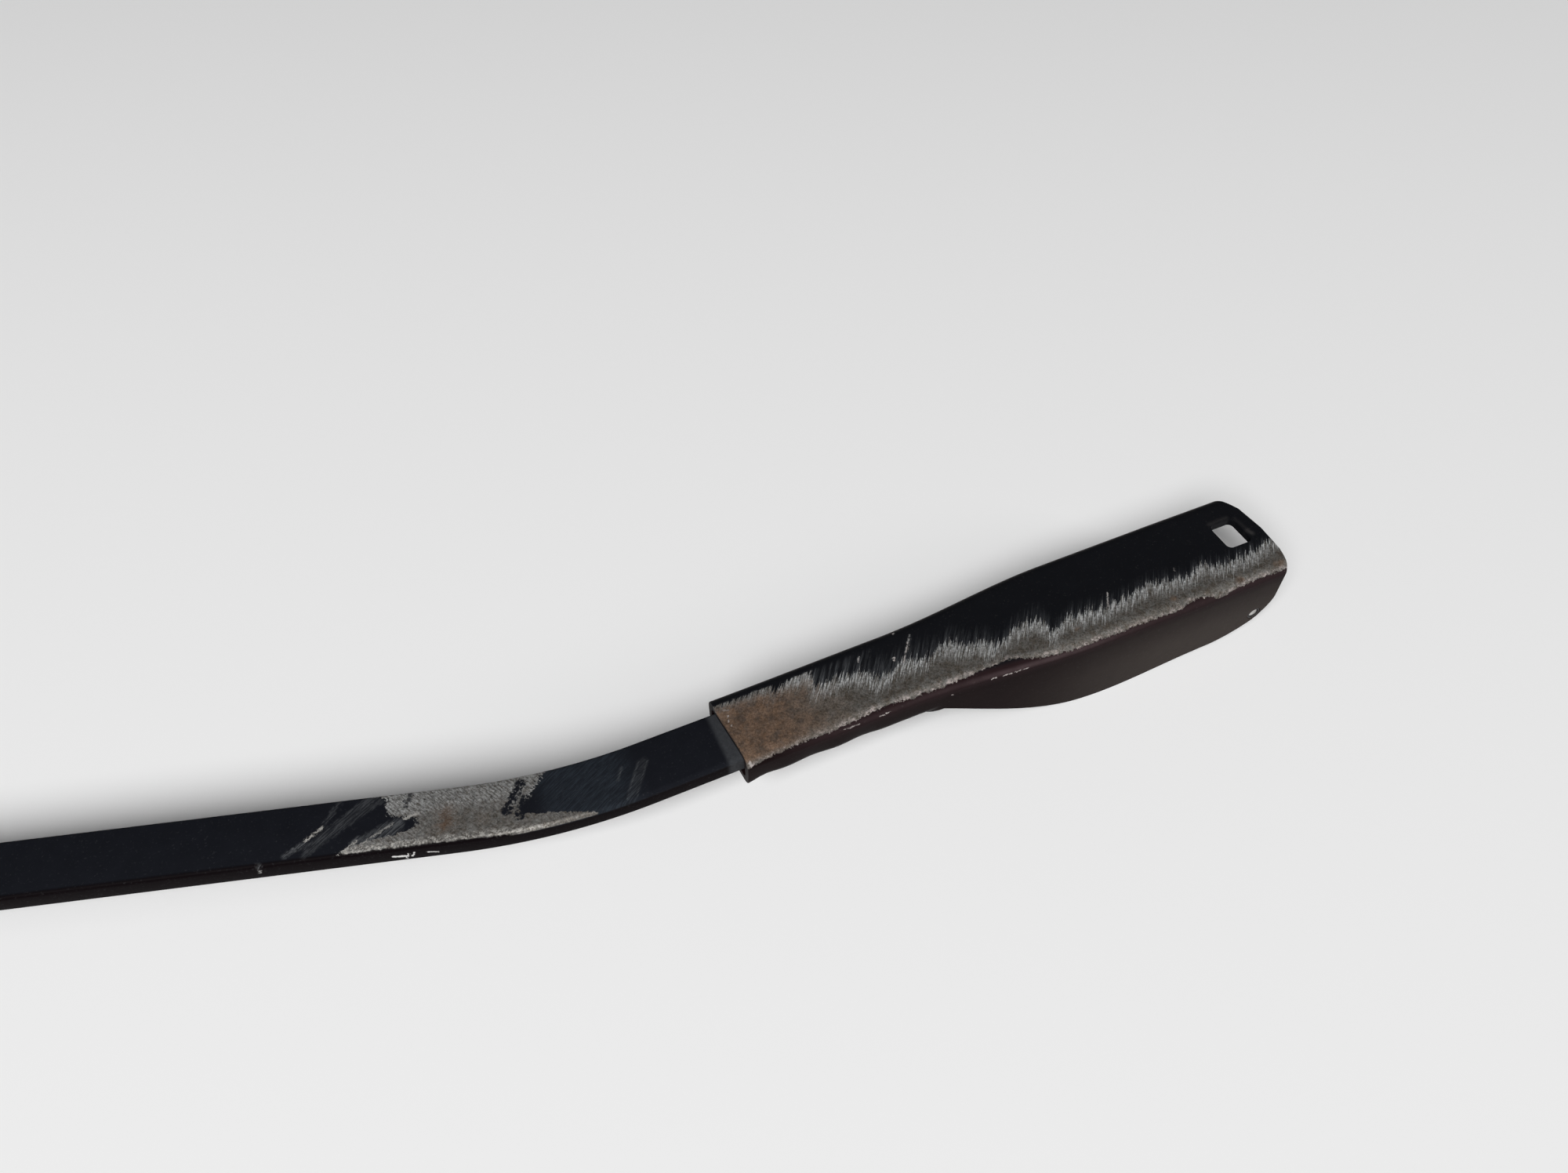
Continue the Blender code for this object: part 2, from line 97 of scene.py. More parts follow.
WEB_TOP = FIT_GAP + SHEET
WEB_MID = FIT_GAP + SHEET / 2
FOLD_MID = BEND_OUT - SHEET / 2
WALL_FOOT = -(BAR_THICK + FIT_GAP + SHEET / 2) + FOLD_MID
HOOK_HEIGHT = 2 * (HOOK_INNER_R + BAR_THICK)
FALL_ANGLE = math.asin((-DEEPEST_Z - HOOK_HEIGHT) / OUTER_RUN)

channel_low, channel_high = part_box("arm_channel")
ARM_ORIGIN = Vector((channel_high.x - CHANNEL_LENGTH * MM, (channel_low.y + channel_high.y) / 2,
                     channel_high.z - WEB_TOP * MM))


def smooth(start, end, value):
    """0 before start, 1 after end, eased between."""
    t = min(1.0, max(0.0, (value - start) / (end - start)))
    return t * t * (3.0 - 2.0 * t)


def spread(start, end, steps):
    """Evenly spaced values after start, up to and with end."""
    return [start + (end - start) * k / steps for k in range(1, steps + 1)]


# ---- mesh helpers -----------------------------------------------------------------
def make_piece(name, bm, place=ARM_ORIGIN, tilt=0.0):
    """A mesh drawn in millimetres becomes an object in metres, at its place in the frame."""
    bmesh.ops.recalc_face_normals(bm, faces=bm.faces)
    bmesh.ops.scale(bm, vec=(MM, MM, MM), verts=bm.verts)
    mesh = bpy.data.meshes.new(name)
    bm.to_mesh(mesh)
    bm.free()
    piece = bpy.data.objects.new(name, mesh)
    bpy.context.scene.collection.objects.link(piece)
    piece.location = place
    piece.rotation_euler = (0.0, tilt, 0.0)
    return piece


def dress(piece, cutters, edge_radius):
    """Cut the holes, round the sharp edges and keep the result as the piece's own mesh."""
    for tool in cutters:
        hole = piece.modifiers.new("hole", "BOOLEAN")
        hole.operation = "DIFFERENCE"
        hole.solver = "EXACT"
        hole.object = tool
    rounding = piece.modifiers.new("edges", "BEVEL")
    rounding.width = edge_radius * MM
    rounding.segments = 3
    rounding.limit_method = "ANGLE"
    rounding.angle_limit = math.radians(50.0)
    rounding.use_clamp_overlap = False
    rounding.harden_normals = True
    piece.data.shade_smooth()
    bpy.context.view_layer.update()
    depsgraph = bpy.context.evaluated_depsgraph_get()
    plain = piece.data
    piece.data = bpy.data.meshes.new_from_object(piece.evaluated_get(depsgraph))
    piece.data.name = piece.name
    piece.modifiers.clear()
    bpy.data.meshes.remove(plain)
    for tool in cutters:
        bpy.data.objects.remove(tool)


def skin(bm, rings):
    """Join rings of the same number of points into one closed body."""
    rows = [[bm.verts.new(point) for point in ring] for ring in rings]
    count = len(rows[0])
    for row, following in zip(rows, rows[1:]):
        for i in range(count):
            j = (i + 1) % count
            bm.faces.new((row[i], row[j], following[j], following[i]))
    bm.faces.new(reversed(rows[0]))
    bm.faces.new(rows[-1])


def arc(centre_a, centre_b, radius, start, end, steps):
    """Points of an arc in a plane, as pairs; angles in degrees."""
    points = []
    for k in range(steps + 1):
        angle = math.radians(start + (end - start) * k / steps)
        points.append((centre_a + radius * math.cos(angle), centre_b + radius * math.sin(angle)))
    return points


def turned(bm, profile, sides=64):
    """A body of revolution about y from (y, radius) pairs, closed at both ends."""
    rings = []
    for y, radius in profile:
        rings.append([Vector((a, y, b)) for a, b in arc(0, 0, radius, 0, 360, sides)[:-1]])
    skin(bm, rings)


def round_tool(radius, half_length, place):
    """A cylinder along y that cuts a round hole."""
    bm = bmesh.new()
    turned(bm, [(-half_length, radius), (half_length, radius)])
    tool = make_piece("tool", bm, place)
    tool.hide_render = True
    return tool


def in_arm(x, y, z):
    """A point of the arm's own frame, in the shared frame."""
    return ARM_ORIGIN + Vector((x, y, z)) * MM


# ---- channel ----------------------------------------------------------------------
def half_width(x):
    """Half of the channel's width over its walls: the sleeve, the flare and the slow taper."""
    flare = FLARE_GROWTH * smooth(FLARE_START, FLARE_END, x)
    taper = TAPER_GROWTH * min(1.0, max(0.0, (x - FLARE_END) / (EARS_START - FLARE_END)))
    return SLEEVE_HALF + flare + taper


def lower_edge(x):
    """Height of the walls' lower edge, behind the crimped sleeve."""
    if x < DEEPEST_X:
        start_z = WALL_FOOT - WAIST_DEVELOPED
        turn = 0.5 * math.pi * (x - OPEN_START) / (DEEPEST_X - OPEN_START)
        return start_z + (DEEPEST_Z - start_z) * math.sin(turn)
    if x < NOSE_X:
        return DEEPEST_Z + (NOSE_Z - DEEPEST_Z) * smooth(DEEPEST_X, NOSE_X, x)
    reach = min(1.0, (x - NOSE_X) / (CHANNEL_LENGTH - NOSE_X))
    return NOSE_Z + NOSE_RISE * (1.0 - (1.0 - reach ** NOSE_POWER) ** (1.0 / NOSE_POWER))


def crimp_dent(x):
    """The press's bites along the sleeve's lower bend, fading out where the lips unroll."""
    return CRIMP_BITE * (1.0 + math.sin(2.0 * math.pi * x / CRIMP_PITCH)) * (1.0 - smooth(20.0, CRIMP_END, x))


def flange(x, side_y, steps=12):
    """Middle line below the wall's foot: rolled under the flat bar in the sleeve, unrolled
    to a plain wall behind it. Gives (y, z, normal_y, normal_z)."""
    fold = 0.5 * math.pi * (1.0 - smooth(CRIMP_END, OPEN_START, x))
    if x < OPEN_START:
        run_out = smooth(CRIMP_END, OPEN_START, x)
        developed = LIP_DEVELOPED + (WAIST_DEVELOPED - LIP_DEVELOPED) * run_out
    else:
        developed = WALL_FOOT - lower_edge(x)
    line = []
    for s in spread(0.0, developed, steps):
        turn = min(fold, s / FOLD_MID)
        straight = s - turn * FOLD_MID
        y = side_y - FOLD_MID * (1.0 - math.cos(turn)) - straight * math.sin(turn)
        z = WALL_FOOT - FOLD_MID * math.sin(turn) - straight * math.cos(turn)
        line.append((y, z, math.cos(turn), -math.sin(turn)))
    return line


def half_section(x):
    """Middle line of the sheet from the web's centre to the flange's edge."""
    side_y = half_width(x) - SHEET / 2
    fold_y, fold_z = side_y - FOLD_MID, WEB_MID - FOLD_MID
    line = [(y, WEB_MID, 0.0, 1.0) for y in (0.0, fold_y * 0.72, fold_y - 0.4)]
    steps = 10
    for k in range(steps + 1):
        angle = 0.5 * math.pi * (1.0 - k / steps)
        normal = (math.cos(angle), math.sin(angle))
        line.append((fold_y + FOLD_MID * normal[0], fold_z + FOLD_MID * normal[1], *normal))
    line.append((side_y, WALL_FOOT, 1.0, 0.0))
    return line + flange(x, side_y)


def channel_stations():
    """Places along the channel, closer where its shape changes fast."""
    stations = [0.0] + spread(0.0, CRIMP_END, 26)
    stations += spread(CRIMP_END, OPEN_START, 20)
    stations += spread(OPEN_START, DEEPEST_X, 50)
    stations += spread(DEEPEST_X, NOSE_X, 20)
    turns = spread(0.0, 78.0, 24) + [90.0]
    return stations + [NOSE_X + (CHANNEL_LENGTH - NOSE_X) * math.sin(math.radians(turn)) for turn in turns]


def sheet_rows(bm):
    """The outer and the inner skin of the channel, as rows of points across it."""
    outer, inner = [], []
    for x in channel_stations():
        half = half_section(x)
        section = [(-y, z, -ny, nz) for y, z, ny, nz in reversed(half[1:])] + half
        widest = half_width(x) - SHEET / 2
        end_share = max(0.0, (x - BOW_START) / (CHANNEL_LENGTH - BOW_START))
        skew = MOUTH_SKEW * (1.0 - smooth(0.0, SKEW_FADE, x))
        swell = FAR_SWELL * smooth(*SWELL_GROWS, x) * (1.0 - 0.5 * smooth(*SWELL_EASES, x))
        out_row, in_row = [], []
        for y, z, ny, nz in section:
            bow = END_BOW + (FAR_CORNER_CUT if y > 0.0 else 0.0)
            at_x = x - bow * end_share * min(1.0, abs(y) / widest) ** BOW_POWER
            at_x -= skew * smooth(-SLEEVE_HALF, SLEEVE_HALF, y)
            if y > 0.0:
                y += swell * smooth(0.0, widest, y)
            else:
                z -= LIP_DROP * (1.0 - smooth(0.0, LIP_FADE, x)) * smooth(-1.5, -3.5, z)
            sheet_out = SHEET / 2 - crimp_dent(x) * smooth(-2.0, -3.2, z)
            out_row.append(bm.verts.new((at_x, y + ny * sheet_out, z + nz * sheet_out)))
            in_row.append(bm.verts.new((at_x, y - ny * SHEET / 2, z - nz * SHEET / 2)))
        outer.append(out_row)
        inner.append(in_row)
    return outer, inner


def make_channel():
    """The folded sheet with its window and its two ear holes."""
    bm = bmesh.new()
    outer, inner = sheet_rows(bm)
    last = len(outer[0]) - 1
    for i in range(len(outer) - 1):
        for j in range(last):
            bm.faces.new((outer[i][j], outer[i][j + 1], outer[i + 1][j + 1], outer[i + 1][j]))
            bm.faces.new((inner[i][j], inner[i + 1][j], inner[i + 1][j + 1], inner[i][j + 1]))
        for j in (0, last):
            bm.faces.new((outer[i][j], outer[i + 1][j], inner[i + 1][j], inner[i][j]))
    for i in (0, len(outer) - 1):
        for j in range(last):
            bm.faces.new((outer[i][j], outer[i][j + 1], inner[i][j + 1], inner[i][j]))
    channel = make_piece("channel", bm)
    bm = bmesh.new()
    half_l, half_w, corner = WINDOW_LENGTH / 2, WINDOW_WIDTH / 2, WINDOW_CORNER
    outline = []
    for sx, sy, start in ((1, 1, 0), (-1, 1, 90), (-1, -1, 180), (1, -1, 270)):
        centre = (WINDOW_X + sx * (half_l - corner), WINDOW_Y + sy * (half_w - corner))
        outline += arc(*centre, corner, start, start + 90, 8)
    skin(bm, [[Vector((a, b, height)) for a, b in outline] for height in (-2.0, 4.0)])
    window = make_piece("tool", bm)
    ear_holes = round_tool(EAR_HOLE_R, 12.0, in_arm(HINGE_X, 0, HINGE_Z))
    dress(channel, [window, ear_holes], CHANNEL_ROUNDING)
    return channel


# ---- flat bar ---------------------------------------------------------------------
def bar_section(centre, across, up, half_width_here, half_thick):
    """Rectangle with rounded corners, as one ring of points."""
    radius = min(BAR_EDGE_R, half_thick * 0.45)
    ring = []
    for sa, su, start in ((1, 1, 0), (-1, 1, 90), (-1, -1, 180), (1, -1, 270)):
        a0, u0 = sa * (half_width_here - radius), su * (half_thick - radius)
        for a, u in arc(a0, u0, radius, start, start + 90, 4):
            ring.append(centre + across * a + up * u)
    return ring


def inner_run_rings():
    """From the rounded eye end, up the crank and through the sleeve to the bend."""
    across, rings = Vector((0, 1, 0)), []
    tip = EYE_X + EYE_LIGAMENT / 2
    drop = EYE_Z + BAR_THICK / 2
    stops = [tip] + [tip - back for back in (0.25, 0.6, 1.0, 1.5, 2.1, 3.0)]
    stops += spread(tip - 3.0, CRANK_END, 3) + spread(CRANK_END, CRANK_START, 24)
    stops += spread(CRANK_START, NECK_START, 12) + spread(NECK_START, 0.0, 12) + spread(0.0, -12.0, 8)
    for x in stops:
        eased = smooth(CRANK_START, CRANK_END, x)
        slope = (drop * 6.0 * (x - CRANK_START) * (CRANK_END - x) / (CRANK_END - CRANK_START) ** 3
                 if CRANK_START < x < CRANK_END else 0.0)
        up = Vector((-slope, 0, 1)).normalized()
        neck = smooth(NECK_START, CRANK_START, x)
        half = BAR_WIDTH / 2 + (NECK_HALF - BAR_WIDTH / 2) * neck
        from_tip = min(1.0, (tip - x) / 3.0)
        half *= 0.50 + 0.50 * math.sqrt(1.0 - (1.0 - from_tip) ** 2)
        thick = BAR_THICK / 2 + (EYE_THICK - BAR_THICK) / 2 * eased
        centre = Vector((x, 0, -BAR_THICK / 2 + drop * eased))
        rings.append(bar_section(centre, across, up, half, thick))
    return rings


def outer_run_rings():
    """The edgewise bend, the long straight run and the hook that takes the blade."""
    rings = []
    tangent = BEND_RADIUS * math.tan(BEND_ANGLE / 2)
    point = Vector((BEND_X + tangent, 0, -BAR_THICK / 2))
    steps = 40
    for k in range(steps + 1):
        turn = BEND_ANGLE * k / steps
        fall = FALL_ANGLE * k / steps
        along = Vector((-math.cos(turn) * math.cos(fall), math.sin(turn) * math.cos(fall), -math.sin(fall)))
        across = Vector((math.sin(turn), math.cos(turn), 0))
        up = along.cross(across) * -1.0
        if k:
            point = point + (along + last_along).normalized() * (BEND_RADIUS * BEND_ANGLE / steps)
        last_along = along
        rings.append(bar_section(point, across, up, BAR_WIDTH / 2, BAR_THICK / 2))
    for reach in spread(0.0, OUTER_RUN - tangent, 48):
        centre = point + along * reach
        rings.append(bar_section(centre, across, up, BAR_WIDTH / 2, BAR_THICK / 2))
    hook_mid_r = HOOK_INNER_R + BAR_THICK / 2
    crown = centre - up * hook_mid_r
    for turn in spread(0.0, math.pi, 36):
        normal = up * math.cos(turn) + along * math.sin(turn)
        rings.append(bar_section(crown + normal * hook_mid_r, across, normal, BAR_WIDTH / 2, BAR_THICK / 2))
    foot = crown - up * hook_mid_r
    for from_tip, share in HOOK_TIP:
        place = foot - along * (HOOK_RETURN - from_tip)
        rings.append(bar_section(place, across, -up, BAR_WIDTH / 2 * share, BAR_THICK / 2))
    return rings


def make_flat_bar():
    """The whole bar, from its eye inside the channel to the hook, with the eye's hole."""
    bm = bmesh.new()
    skin(bm, inner_run_rings() + outer_run_rings())
    bar = make_piece("flat_bar", bm)
    bm = bmesh.new()
    centre_x = EYE_X - EYE_LIGAMENT / 2 - EYE_HOLE_R
    ring = arc(centre_x, 0, EYE_HOLE_R, 0, 360, 48)[:-1]
    skin(bm, [[Vector((a, b, height)) for a, b in ring] for height in (EYE_Z - 4.0, EYE_Z + 4.0)])
    eye = make_piece("tool", bm)
    dress(bar, [eye], BAR_ROUNDING)
    return bar


# ---- hinge ------------------------------------------------------------------------
def make_pin():
    """Shouldered pin: a journal between the ears and thin, slightly domed ends."""
    ear_out = half_width(HINGE_X)
    shoulder = ear_out - SHEET - SHOULDER_INSET
    end = ear_out - PIN_END_INSET
    dome = [(end - 0.10 * reach ** 2, PIN_END_R * 0.86 * reach) for reach in (0.12, 0.4, 0.7, 1.0)]
    lip = [(end - 0.14, PIN_END_R * 0.94), (end - 0.20, PIN_END_R * 0.985), (end - 0.28, PIN_END_R)]
    root = [(shoulder, PIN_END_R), (shoulder, PIN_JOURNAL_R - 0.2),
            (shoulder - 0.06, PIN_JOURNAL_R - 0.06), (shoulder - 0.2, PIN_JOURNAL_R)]
    side = dome + lip + root
    bm = bmesh.new()
    turned(bm, side + [(-y, radius) for y, radius in reversed(side)])
    pin = make_piece("pin", bm, in_arm(HINGE_X, 0, HINGE_Z))
    dress(pin, [], PIN_ROUNDING)
    return pin


def make_bush(name, side):
    """Flanged liner in one ear's hole, flange inwards."""
    ear_out = half_width(HINGE_X)
    bore, sleeve, face = PIN_END_R + BUSH_PLAY, EAR_HOLE_R - BUSH_FIT, ear_out - SHEET
    section = [(ear_out - 0.10, bore), (ear_out - 0.10, sleeve), (face - 0.10, sleeve),
               (face - 0.10, BUSH_RIM_R), (face - 0.45, BUSH_RIM_R), (face - 0.45, bore)]
    bm = bmesh.new()
    sides = 64
    rings = []
    for a, b in arc(0, 0, 1.0, 0, 360, sides)[:-1]:
        rings.append([bm.verts.new((a * r, side * y, b * r)) for y, r in section])
    for k in range(sides):
        row, following = rings[k], rings[(k + 1) % sides]
        for i in range(len(section)):
            j = (i + 1) % len(section)
            bm.faces.new((row[i], row[j], following[j], following[i]))
    bush = make_piece(name, bm, in_arm(HINGE_X, 0, HINGE_Z))
    dress(bush, [], BUSH_ROUNDING)
    return bush


# ---- spring and link ----------------------------------------------------------------
def bezier(p0, p1, p2, p3, steps):
    """Points inside a cubic curve, without its two ends."""
    points = []
    for k in range(1, steps):
        t = k / steps
        s = 1.0 - t
        points.append(p0 * s ** 3 + p1 * 3 * s * s * t + p2 * 3 * s * t * t + p3 * t ** 3)
    return points


def spring_path():
    """Middle line of the wire: upright loop, close coil, flat loop; x along the coil."""
    coil = []
    per_turn = 28
    total = round(COIL_TURNS * per_turn)
    for k in range(total + 1):
        angle = 0.5 * math.pi + 2.0 * math.pi * k / per_turn
        x = COIL_START + COIL_LENGTH * k / total
        coil.append(Vector((x, COIL_R * math.cos(angle), COIL_R * math.sin(angle))))
    upright = [Vector((a, 0, b)) for a, b in arc(0, 0, LOOP_R, 330, 90, 30)]
    flat = [Vector((a, b, 0)) for a, b in arc(LINK_PIVOT - LOOP_R, 0, LOOP_R, 90, -150, 30)]
    lead_in = bezier(upright[-1], upright[-1] + Vector((1.6, 0, 0.3)),
                     coil[0] + Vector((-0.6, 1.6, 0.1)), coil[0], 10)
    lead_out = bezier(coil[-1], coil[-1] + Vector((0.6, 0.1, 1.6)),
                      flat[0] + Vector((-1.6, 0.3, 0)), flat[0], 10)
    return upright + lead_in + coil + lead_out + flat


def tube_rings(path, radius, sides=14):
    """Rings round a path, carried along without twisting, with rounded wire ends."""
    tangents = []
    for k in range(len(path)):
        tangents.append((path[min(k + 1, len(path) - 1)] - path[max(k - 1, 0)]).normalized())
    side = tangents[0].orthogonal().normalized()
    rings = []
    for point, tangent in zip(path, tangents):
        side = (side - tangent * side.dot(tangent)).normalized()
        other = tangent.cross(side)
        rings.append([point + side * a + other * b for a, b in arc(0, 0, radius, 0, 360, sides)[:-1]])
    tip = [path[0] - tangents[0] * 0.12 + (corner - path[0]) * 0.8 for corner in rings[0]]
    end = [path[-1] + tangents[-1] * 0.12 + (corner - path[-1]) * 0.8 for corner in rings[-1]]
    return [tip] + rings + [end]


def make_spring(pivot):
    """The wire, hung at the bar's eye with the droop of a slack spring."""
    bm = bmesh.new()
    skin(bm, tube_rings(spring_path(), WIRE_R))
    spring = make_piece("spring_wire", bm, pivot, DROOP)
    dress(spring, [], WIRE_ROUNDING)
    return spring


def link_outline():
    """Side view of the link: eye at the pivot, neck, and a hook open below."""
    hook = (LINK_HOOK_X, LINK_HOOK_Z)
    outline = arc(0, 0, LINK_EYE_R, 62, 298, 36)
    outline += arc(*hook, LINK_HOOK_IN, 165, -70, 36)
    tip_r = (LINK_HOOK_OUT - LINK_HOOK_IN) / 2
    tip_mid = (LINK_HOOK_OUT + LINK_HOOK_IN) / 2
    tip_angle = math.radians(-70)
    tip = (hook[0] + tip_mid * math.cos(tip_angle), hook[1] + tip_mid * math.sin(tip_angle))
    outline += arc(*tip, tip_r, 110, 290, 14)[1:-1]
    outline += arc(*hook, LINK_HOOK_OUT, -70, 108, 36)
    return outline


def make_link(pivot):
    """The flat hook that the mounting head's cross pin would sit in."""
    bm = bmesh.new()
    half = LINK_THICK / 2
    skin(bm, [[Vector((a, y, b)) for a, b in link_outline()] for y in (-half, half)])
    link = make_piece("hook_link", bm, pivot)
    eye = round_tool(LINK_HOLE_R, 4.0, pivot)
    dress(link, [eye], LINK_ROUNDING)
    return link


# ---- material helpers ---------------------------------------------------------------
class Wire:
    """The output of a shader node, which can be added, subtracted and multiplied."""

    def __init__(self, graph, socket):
        self.graph = graph
        self.socket = socket

    def __add__(self, other):
        return self.graph.math("ADD", self, other)

    def __sub__(self, other):
        return self.graph.math("SUBTRACT", self, other)

    def __rsub__(self, other):
        return self.graph.math("SUBTRACT", other, self)

    def __mul__(self, other):
        return self.graph.math("MULTIPLY", self, other)

    __radd__ = __add__
    __rmul__ = __mul__


class Graph:
    """One material and short names for the nodes that its wear and colours need."""

    def __init__(self, name):
        self.material = bpy.data.materials.new(name)
        self.material.use_nodes = True
        self.tree = self.material.node_tree
        self.shader = self.tree.nodes["Principled BSDF"]
        place = self.node("ShaderNodeTexCoord").outputs["Object"]
        scaled = self.node("ShaderNodeVectorMath", operation="SCALE")
        self.feed(scaled.inputs[0], place)
        self.feed(scaled.inputs["Scale"], 1.0 / MM)
        self.place = Wire(self, scaled.outputs[0])
        parts = self.node("ShaderNodeSeparateXYZ")
        self.feed(parts.inputs[0], self.place)
        self.x, self.y, self.z = (Wire(self, out) for out in parts.outputs)

    def node(self, kind, **settings):
        item = self.tree.nodes.new(kind)
        for key, value in settings.items():
            setattr(item, key, value)
        return item

    def feed(self, socket, value):
        if isinstance(value, Wire):
            value = value.socket
        if isinstance(value, bpy.types.NodeSocket):
            self.tree.links.new(value, socket)
        elif isinstance(value, tuple) and len(value) == 3 and socket.type == "RGBA":
            socket.default_value = (*value, 1.0)
        else:
            socket.default_value = value

    def math(self, operation, *values):
        item = self.node("ShaderNodeMath", operation=operation)
        for socket, value in zip(item.inputs, values):
            self.feed(socket, value)
        return Wire(self, item.outputs[0])

    def step(self, start, end, value):
        """0 at start, 1 at end and eased between; start may be the larger one."""
        item = self.node("ShaderNodeMapRange", interpolation_type="SMOOTHSTEP")
        for name, number in (("Value", value), ("From Min", start), ("From Max", end)):
            self.feed(item.inputs[name], number)
        return Wire(self, item.outputs[0])

    def vector(self, x, y, z):
        item = self.node("ShaderNodeCombineXYZ")
        for socket, value in zip(item.inputs, (x, y, z)):
            self.feed(socket, value)
        return Wire(self, item.outputs[0])

    def noise(self, place, scale, detail=3.0, roughness=0.55):
        """Noise from 0 to 1; scale is in features per millimetre."""
        item = self.node("ShaderNodeTexNoise")
        values = (("Vector", place), ("Scale", scale), ("Detail", detail), ("Roughness", roughness))
        for name, value in values:
            self.feed(item.inputs[name], value)
        return Wire(self, item.outputs[0])

    def mix(self, share, first, second):
        item = self.node("ShaderNodeMix", data_type="RGBA")
        for index, value in ((0, share), (6, first), (7, second)):
            self.feed(item.inputs[index], value)
        return Wire(self, item.outputs[2])

    def shade(self, colour, factor):
        """The colour made lighter or darker by a number."""
        item = self.node("ShaderNodeVectorMath", operation="SCALE")
        self.feed(item.inputs[0], colour)
        self.feed(item.inputs["Scale"], factor)
        return Wire(self, item.outputs[0])

    def course(self, where, points):
        """A smooth line through (place, value) points, read at where."""
        first, last = points[0][0], points[-1][0]
        low = min(value for _, value in points)
        high = max(value for _, value in points)
        item = self.node("ShaderNodeFloatCurve")
        curve = item.mapping.curves[0]
        shares = [((place - first) / (last - first), (value - low) / (high - low)) for place, value in points]
        curve.points[0].location = shares[0]
        curve.points[1].location = shares[-1]
        for share in shares[1:-1]:
            curve.points.new(*share)
        for point in curve.points:
            point.handle_type = "AUTO_CLAMPED"
        item.mapping.update()
        self.feed(item.inputs["Value"], (where - first) * (1.0 / (last - first)))
        return Wire(self, item.outputs[0]) * (high - low) + low

    def stroke(self, x, y, start, end, half, soft):
        """1 inside a short line with round ends, fading out over soft on each side."""
        run_x, run_y = end[0] - start[0], end[1] - start[1]
        squared = run_x * run_x + run_y * run_y
        along = (x - start[0]) * (run_x / squared) + (y - start[1]) * (run_y / squared)
        along = self.math("MINIMUM", self.math("MAXIMUM", along, 0.0), 1.0)
        off_x = x - start[0] - along * run_x
        off_y = y - start[1] - along * run_y
        away = self.math("SQRT", off_x * off_x + off_y * off_y)
        return self.step(half + soft, half - soft, away)

    def strokes(self, x, y, marks, soft=0.2):
        """The strongest of several strokes, each (start, end, half width, strength)."""
        total = None
        for start, end, half, strength in marks:
            one = self.stroke(x, y, start, end, half, soft) * strength
            total = one if total is None else self.math("MAXIMUM", total, one)
        return total

    def bump(self, height, depth, below=None):
        """Tilts the surface as if height, from 0 to 1, stood depth millimetres tall."""
        item = self.node("ShaderNodeBump")
        self.feed(item.inputs["Distance"], depth * MM)
        self.feed(item.inputs["Height"], height)
        if below is not None:
            self.feed(item.inputs["Normal"], below)
        return Wire(self, item.outputs[0])

    def finish(self, colour, roughness, metallic, normal, specular=0.5):
        for name, value in (("Base Color", colour), ("Roughness", roughness), ("Metallic", metallic),
                            ("Normal", normal), ("Specular IOR Level", specular)):
            self.feed(self.shader.inputs[name], value)
        return self.material


# ---- colours ------------------------------------------------------------------------
PAINT_TOP = (0.0066, 0.0070, 0.0086)
# Painted shade: the walls get a darker, purple-brown copy of the top's paint.
PAINT_SHADED_SIDE = (0.0072, 0.0036, 0.0038)
# Painted sheen: a lighter purple-brown band round the curve of the near fold.
PAINT_FOLD_SHEEN = (0.0160, 0.0088, 0.0096)
# Painted highlight: the light line along the near fold.
FOLD_HIGHLIGHT = (0.0600, 0.0420, 0.0440)
PAINT_PALER_LOW_REAR = (0.0350, 0.0278, 0.0245)
PAINT_WORN = (0.080, 0.084, 0.090)
WINDOW_RIM_HIGHLIGHT = (0.0330, 0.0310, 0.0315)
BAR_TOP = (0.0088, 0.0096, 0.0128)
# Painted shade: the bar's darker sides.
BAR_SIDE_SHADE = (0.0034, 0.0020, 0.0026)
BAR_HAZE = (0.0300, 0.0380, 0.0480)
STEEL_WARM = (0.098, 0.083, 0.068)
STEEL_COOL = (0.165, 0.160, 0.150)
STEEL_BRIGHT = (0.640, 0.650, 0.650)
STEEL_CHIPPED_HIGHLIGHT = (0.420, 0.370, 0.350)
RUST_DARK = (0.058, 0.037, 0.026)
RUST_LIGHT = (0.145, 0.085, 0.052)
CHIP_GLINT = (0.58, 0.53, 0.51)
EDGE_GLINT = (0.64, 0.62, 0.58)
FLECK_GLINT = (0.70, 0.69, 0.68)
SCRAPE_PALE = (0.25, 0.26, 0.27)
CHANNEL_DUST = (0.16, 0.15, 0.14)
BAR_DUST = (0.14, 0.14, 0.15)
PIN_DARK, PIN_LIGHT = (0.42, 0.41, 0.39), (0.62, 0.61, 0.59)
SPRING_DARK, SPRING_LIGHT = (0.13, 0.125, 0.12), (0.30, 0.29, 0.27)
LINK_DARK, LINK_LIGHT = (0.26, 0.24, 0.20), (0.46, 0.44, 0.39)
NYLON_DARK, NYLON_LIGHT = (0.010, 0.010, 0.011), (0.030, 0.028, 0.027)
FLOOR_PALE = (0.92, 0.92, 0.92)
PAINT_SHINE, NYLON_SHINE, FLOOR_SHINE = 0.02, 0.4, 0.2


def steel_colour(g, fringe, streak):
    """Bare steel gone dull: warm and cool blotches, lighter along the scraped fringe."""
    blotch = g.step(0.32, 0.68, g.noise(g.place, 0.8, 5.0, 0.75))
    grain = g.step(0.25, 0.75, g.noise(g.place, 2.8, 6.0, 0.85))
    pits = g.step(0.60, 0.70, g.noise(g.place, 1.9, 3.0, 0.7))
    body = g.mix(blotch, STEEL_WARM, STEEL_COOL)
    body = g.mix(fringe * g.step(0.42, 0.58, streak), body, STEEL_BRIGHT)
    return g.shade(body, (0.30 + 1.4 * grain) * (1.0 - pits * 0.45)), grain
